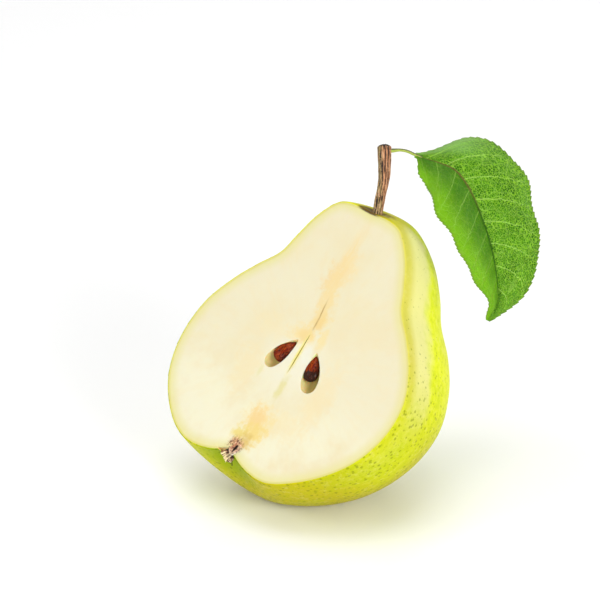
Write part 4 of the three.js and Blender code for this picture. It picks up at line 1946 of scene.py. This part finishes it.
# --- Stem and leaf -----------------------------------------------------------------------------------
@dataclass
class Stem:
    """The woody stalk: ridged and cracked bark, slim in the middle, flared and blunt at the top."""

    laying: Laying
    line: tuple[Place, ...] = (
        (22.7, 5.4, 32.8), (23.4, 5.2, 36.5), (24.3, 5.0, 41.0), (25.2, 5.0, 45.5), (25.4, 5.0, 50.0),
        (25.4, 5.0, 56.4),
    )
    foot: float = 1.5
    middle: float = 1.45
    top: float = 2.0
    ridge: float = 0.15
    ridges: int = 11
    twist: float = 50.0
    crack: float = 0.22
    blunt: float = 0.2
    sides: int = 120
    rings: int = 150
    cap_rings: tuple[float, ...] = (0.15, 0.2, 0.2, 0.2)
    cap_start: float = 0.955
    cap_dish: float = 0.02
    cap_dark: float = 0.9
    rim_dark: float = 0.5
    frayed_start: float = 0.985
    frayed: float = 0.028
    finish: BarkFinish = BarkFinish()
    role: Role = Role("stem_bark", "stem", Slot.BARK, 55.0)

    def _radius(self, share: float) -> float:
        """Finds the thickness: full at the foot, slim, then flared and blunt.

        Args:
            share: The share of the length.

        Returns:
            The radius in millimetres.
        """
        foot = (self.foot - self.middle) * (1 - share) ** 3
        flared = self.middle + foot + (self.top - self.middle) * smoothstep(share, 0.35, 0.9)
        return flared * (1 - self.blunt * smoothstep(share, 0.95, 1.0) ** 2)

    def _groove(self, angle: float, share: float) -> float:
        """Finds the height of the bark.

        Args:
            angle: The turn about the stem, in radians.
            share: The share of the length.

        Returns:
            The height, from about -1 in a crack to 1 on a ridge.
        """
        turned = self.ridges * (angle + math.radians(self.twist) * share)
        around = Vector((math.cos(angle) * 2.4, math.sin(angle) * 2.4, share * 6.5))
        wander = 3.2 * noise.noise(around)
        fibre = noise.noise(Vector((math.cos(angle) * 7, math.sin(angle) * 7, share * 9)))
        return 0.6 * math.cos(turned + wander) + 0.8 * fibre

    def build(self) -> None:
        """Builds and dresses the stem."""
        mesh = bar(self.sides, self.rings)
        cap = max(mesh.faces, key=lambda face: (len(face.verts), face.calc_center_median().z))
        for width in self.cap_rings:
            bmesh.ops.inset_region(mesh, faces=[cap], thickness=width)
        layer = mesh.verts.layers.float.new(Layer.GROOVE.value)
        for vert in mesh.verts:
            share = min(max(vert.co.z, 0.0), 1.0)
            angle = math.atan2(vert.co.y, vert.co.x)
            out = math.hypot(vert.co.x, vert.co.y)
            groove = self._groove(angle, share)
            knob = smoothstep(share, self.cap_start, 1.0)
            vert[layer] = groove - (self.rim_dark * knob if out > 0.9 else self.cap_dark)
            size = out * (self._radius(share) + self.ridge * groove + self.crack * min(groove + 0.35, 0.0))
            ragged = noise.noise(Vector((angle * 2, out * 3, 0)))
            ragged *= smoothstep(share, self.frayed_start, 1.0) * self.frayed
            height = vert.co.z - abs(ragged) - self.cap_dish * knob * out**2
            vert.co = Vector((size * math.cos(angle), size * math.sin(angle), height))
        bend(mesh, Line(self.line))
        matrix = self.laying.tipped()
        self.role.fill(mesh, matrix, self.finish.make(matrix))


@dataclass
class Petiole:
    """The leaf stalk, thickest where it leaves the bark."""

    laying: Laying
    line: tuple[Place, ...] = (
        (26.4, 4.9, 54.3), (28.1, 4.9, 54.4), (30.1, 4.6, 54.5), (32.2, 4.0, 54.1), (34.1, 3.3, 53.2),
        (36.6, 2.2, 52.1),
    )
    radius: float = 0.46
    root: float = 0.18
    root_reach: tuple[float, float] = (0.1, 0.35)
    slimming: float = 0.12
    slim_start: float = 0.75
    finish: PetioleFinish = PetioleFinish()
    role: Role = Role("petiole_stalk", "petiole", Slot.PETIOLE, 60.0)

    def build(self) -> None:
        """Builds and dresses the stalk."""
        mesh = bar(32, 70)
        layer = mesh.verts.layers.float.new(Layer.TONE.value)
        for vert in mesh.verts:
            share = vert.co.z
            swell = self.root * (1 - smoothstep(share, *self.root_reach))
            swell -= self.slimming * smoothstep(share, self.slim_start, 1.0)
            vert[layer] = -vert.co.x
            vert.co.x *= self.radius + swell
            vert.co.y *= self.radius + swell
        bend(mesh, Line(self.line))
        matrix = self.laying.tipped()
        self.role.fill(mesh, matrix, self.finish.make(matrix))


@dataclass(frozen=True)
class BladeHalf:
    """Outline of one half of the blade."""

    half_width: float
    bulge: float
    shoulder: float
    fullness: float = 0.8
    ruffle: float = 0.05
    ruffles: float = 2.5
    crest: float = 0.34
    point: float = 0.4
    point_start: float = 0.84

    def width(self, along: float, least: float) -> float:
        """Finds the half-width, without teeth.

        Args:
            along: The share of the length.
            least: The least width.

        Returns:
            The half-width in millimetres.
        """
        spread = max(math.sin(math.pi * along**self.bulge), 0.0) ** self.fullness
        swell = 1 + self.ruffle * math.cos(math.tau * self.ruffles * (along - self.crest))
        slimmed = 1 - self.point * smoothstep(along, self.point_start, 1.0)
        eased = smoothstep(along, -0.1 * self.shoulder, self.shoulder)
        return least + (self.half_width - least) * spread * swell * slimmed * eased


@dataclass
class LeafBlade:
    """The blade: folded along its midrib, arched and turned, with toothed edges and sunk veins."""

    laying: Laying
    midrib: tuple[Place, ...] = (
        (34.5, 3.1, 52.9), (38.0, 1.6, 51.7), (41.9, 0.2, 50.3), (46.3, -1.2, 48.0), (50.2, -1.8, 42.9),
        (53.8, -1.6, 34.8), (56.8, -0.8, 25.8), (58.9, 0.4, 14.5), (58.7, 1.2, 8.4), (56.2, 2.0, 3.2),
    )
    left: BladeHalf = BladeHalf(17.4, 0.88, 0.08)
    right: BladeHalf = BladeHalf(21.1, 0.76, 0.16)
    length: float = 62.0
    base_width: float = 0.5
    tip_width: float = 0.35
    turn: float = 40.0
    fold_at_base: float = -5.0
    fold_at_tip: float = 21.0
    belly: float = 1.1
    wave: float = 0.5
    waves: int = 5
    teeth: int = 44
    tooth_depth: float = 0.6
    thickness: float = 0.4
    veins: int = 9
    vein_rise: float = 0.13
    vein_curve: float = 0.05
    quilt: float = 0.3
    rib_groove: float = 0.28
    rib_under: float = 0.55
    columns: int = 64
    rows: int = 352
    crowding: float = 1.35
    direction_reach: float = 0.09
    finish: LeafFinish = LeafFinish()
    role: Role = Role("leaf_blade", "leaf", Slot.LEAF, 60.0)

    def __post_init__(self) -> None:
        """Draws the midrib's line."""
        self._line = Line(self.midrib)

    def _relief(self, side: float, out: float, along: float, width: float) -> float:
        """Height of the upper face: puffed between the veins, sunk along them and the midrib.

        Args:
            side: The sign across.
            out: The distance from the midrib, from 0 to 1.
            along: The share of the length.
            width: The half-width there.

        Returns:
            The height in millimetres.
        """
        run = along - self.vein_rise * out - self.vein_curve * out * out
        phase = abs((run * self.veins + (0.0 if side > 0 else 0.5)) % 1 - 0.5) * 2
        fade = smoothstep(out, 0.0, 0.2) * (1 - smoothstep(out, 0.8, 1.0)) * smoothstep(width, 0.5, 5.0)
        puff = self.quilt * smoothstep(phase, 0.0, 0.45) * fade
        rib = self.rib_groove * (1 - smoothstep(out * width, 0.15, 0.9)) * smoothstep(width, 0.6, 3.0)
        return puff - rib

    def _place(self, across: float, along: float, face: float) -> Vector:
        """A point of the blade.

        Args:
            across: From -1 at the left edge to 1 at the right edge, evenly spaced.
            along: The share of the length.
            face: 1 on the upper face and -1 on the lower one.

        Returns:
            The point in the tipped frame.
        """
        side = 1.0 if across >= 0 else -1.0
        out = abs(across) ** self.crowding
        half = self.right if side > 0 else self.left
        line = self._line.along(along, self.direction_reach)
        right = Vector((0, -1, 0)).cross(line).normalized()
        toward = line.cross(right)
        fold = mixed(self.fold_at_base, self.fold_at_tip, along) * smoothstep(out, -0.02, 0.06)
        tilt = math.radians(self.turn - side * fold)
        reach = right * math.cos(tilt) - toward * math.sin(tilt)
        normal = right * math.sin(tilt) + toward * math.cos(tilt)
        width = half.width(along, mixed(self.base_width, self.tip_width, along))
        saw = 1 - (along * self.teeth) % 1
        tooth = self.tooth_depth * saw * min(1.0, width / 3) * smoothstep(out, 0.9, 1.0)
        crown = self.belly * math.sin(math.pi * out) * math.sin(math.pi * along)
        ripple = self.wave * out**2 * math.sin(math.tau * self.waves * along + side)
        height = crown + ripple + self._relief(side, out, along, width)
        thick = self.thickness * mixed(1.0, 0.6, out) / 2
        under = self.rib_under * (1 - smoothstep(out * width, 0.2, 0.9)) * smoothstep(width, 0.6, 3.0)
        height += face * thick - (under if face < 0 else 0.0)
        return self._line.at(along) + reach * side * (out * width + tooth) + normal * height

    def build(self) -> None:
        """Builds and dresses the blade."""
        mesh = sheet(self.columns, self.rows, self._place)
        layer = mesh.verts.layers.float_vector[Layer.BLADE.value]
        for vert in mesh.verts:
            across, along, face = vert[layer]
            vert[layer] = Vector((math.copysign(abs(across) ** self.crowding, across), along, face))
        self.role.fill(mesh, self.laying.tipped(), self.finish.dress(self))


# --- Studio ------------------------------------------------------------------------------------------
@dataclass
class Softbox:
    """A rectangular area light that looks at the fruit."""

    name: str
    place: Place
    width: float
    height: float
    power: float

    def build(self, aim: Vector) -> None:
        """Places the light.

        Args:
            aim: The point that it looks at.
        """
        data = bpy.data.lights.new(self.name, "AREA")
        data.shape = "RECTANGLE"
        data.size = self.width
        data.size_y = self.height
        data.energy = self.power
        light = bpy.data.objects.new(self.name, data)
        light.location = self.place
        light.rotation_euler = (aim - Vector(self.place)).to_track_quat("-Z", "Y").to_euler()
        bpy.context.scene.collection.objects.link(light)


@dataclass
class Studio:
    """A pale floor, soft light from all round and a camera that looks down a little."""

    laying: Laying
    camera_distance: float = 0.75
    view_width: float = 0.1791
    sensor: float = 36.0
    frame_pixels: int = 600
    pivot_drop_pixels: float = 31.4
    floor_reach: float = 6.0
    floor_colour: Colour = srgb(254, 254, 254)
    floor_grain: Grain = Grain(By.CLOUD, 3.0)
    floor_cloud: Coat = Coat("faint cloud", srgb(251, 251, 250), Ramp(By.CLOUD, 0.3, 0.7, 0.0, 0.2))
    floor_roughness: float = 0.6
    sky_strength: float = 0.3
    boxes: tuple[Softbox, ...] = (
        Softbox("top_box", (0.0, 0.0, 1.6), 1.2, 1.2, 8.6),
        Softbox("key_box", (-0.25, -0.6, 1.4), 1.0, 1.0, 2.5),
        Softbox("front_box", (0.7, -1.15, 0.5), 0.5, 0.5, 13.0),
        Softbox("low_box", (-0.6, -1.2, 0.35), 0.6, 0.6, 4.6),
        Softbox("left_box", (-1.2, -0.3, 0.7), 0.8, 0.8, 5.0),
        Softbox("back_box", (0.0, 1.3, 0.8), 1.0, 0.8, 4.5),
        Softbox("edge_box", (0.86, 0.72, 0.25), 0.5, 0.4, 2.0),
    )

    def _camera(self) -> None:
        """Aims the camera so that the pivot falls a little below the middle of the frame."""
        data = bpy.data.cameras.new("camera")
        data.sensor_width = self.sensor
        data.lens = self.sensor * self.camera_distance / self.view_width
        data.clip_start = 0.01
        drop = self.pivot_drop_pixels / self.frame_pixels * self.view_width
        raised = math.atan2(drop, self.camera_distance)
        down = math.radians(self.laying.tip_back)
        camera = bpy.data.objects.new("camera", data)
        back = Vector((0, -math.cos(down), math.sin(down)))
        camera.location = self.laying.pivot + back * self.camera_distance
        camera.rotation_euler = (math.pi / 2 - down + raised, 0, 0)
        bpy.context.scene.collection.objects.link(camera)
        bpy.context.scene.camera = camera

    def _floor(self) -> None:
        """Lays the floor and gives it a faint variation of tone."""
        mesh = bmesh.new()
        bmesh.ops.create_grid(mesh, x_segments=4, y_segments=4, size=self.floor_reach / 2)
        graph = Graph("floor_white")
        coordinates = graph.add("ShaderNodeTexCoord").outputs["Object"]
        cloud = graph.noise(coordinates, self.floor_grain)
        colour = graph.coats(self.floor_colour, (self.floor_cloud,), {By.CLOUD: cloud})
        as_object("floor", mesh, Matrix.Identity(4), graph.paint(colour, self.floor_roughness))

    def _sky(self) -> None:
        """Gives the world an even white light."""
        world = bpy.data.worlds.new("soft_white")
        world.use_nodes = True
        background = world.node_tree.nodes["Background"]
        background.inputs["Color"].default_value = (1, 1, 1, 1)
        background.inputs["Strength"].default_value = self.sky_strength
        bpy.context.scene.world = world

    def build(self) -> None:
        """Builds the camera, floor, sky and lights."""
        bpy.context.scene.view_settings.view_transform = "Standard"
        self._camera()
        self._floor()
        self._sky()
        for box in self.boxes:
            box.build(self.laying.pivot)
        LOG.info("studio: %d softboxes", len(self.boxes))


def main() -> None:
    """Builds the studio and every piece of the half pear, in order."""
    logging.basicConfig(level=logging.INFO, format="%(name)s: %(message)s")
    laying = Laying()
    fruit = HalfPear(laying, FruitForm())
    fruit.find_pivot()
    Studio(laying).build()
    fruit.build()
    Seeds(laying).build()
    Calyx(laying).build()
    Stem(laying).build()
    Petiole(laying).build()
    LeafBlade(laying).build()


if __name__ == "__main__":
    main()
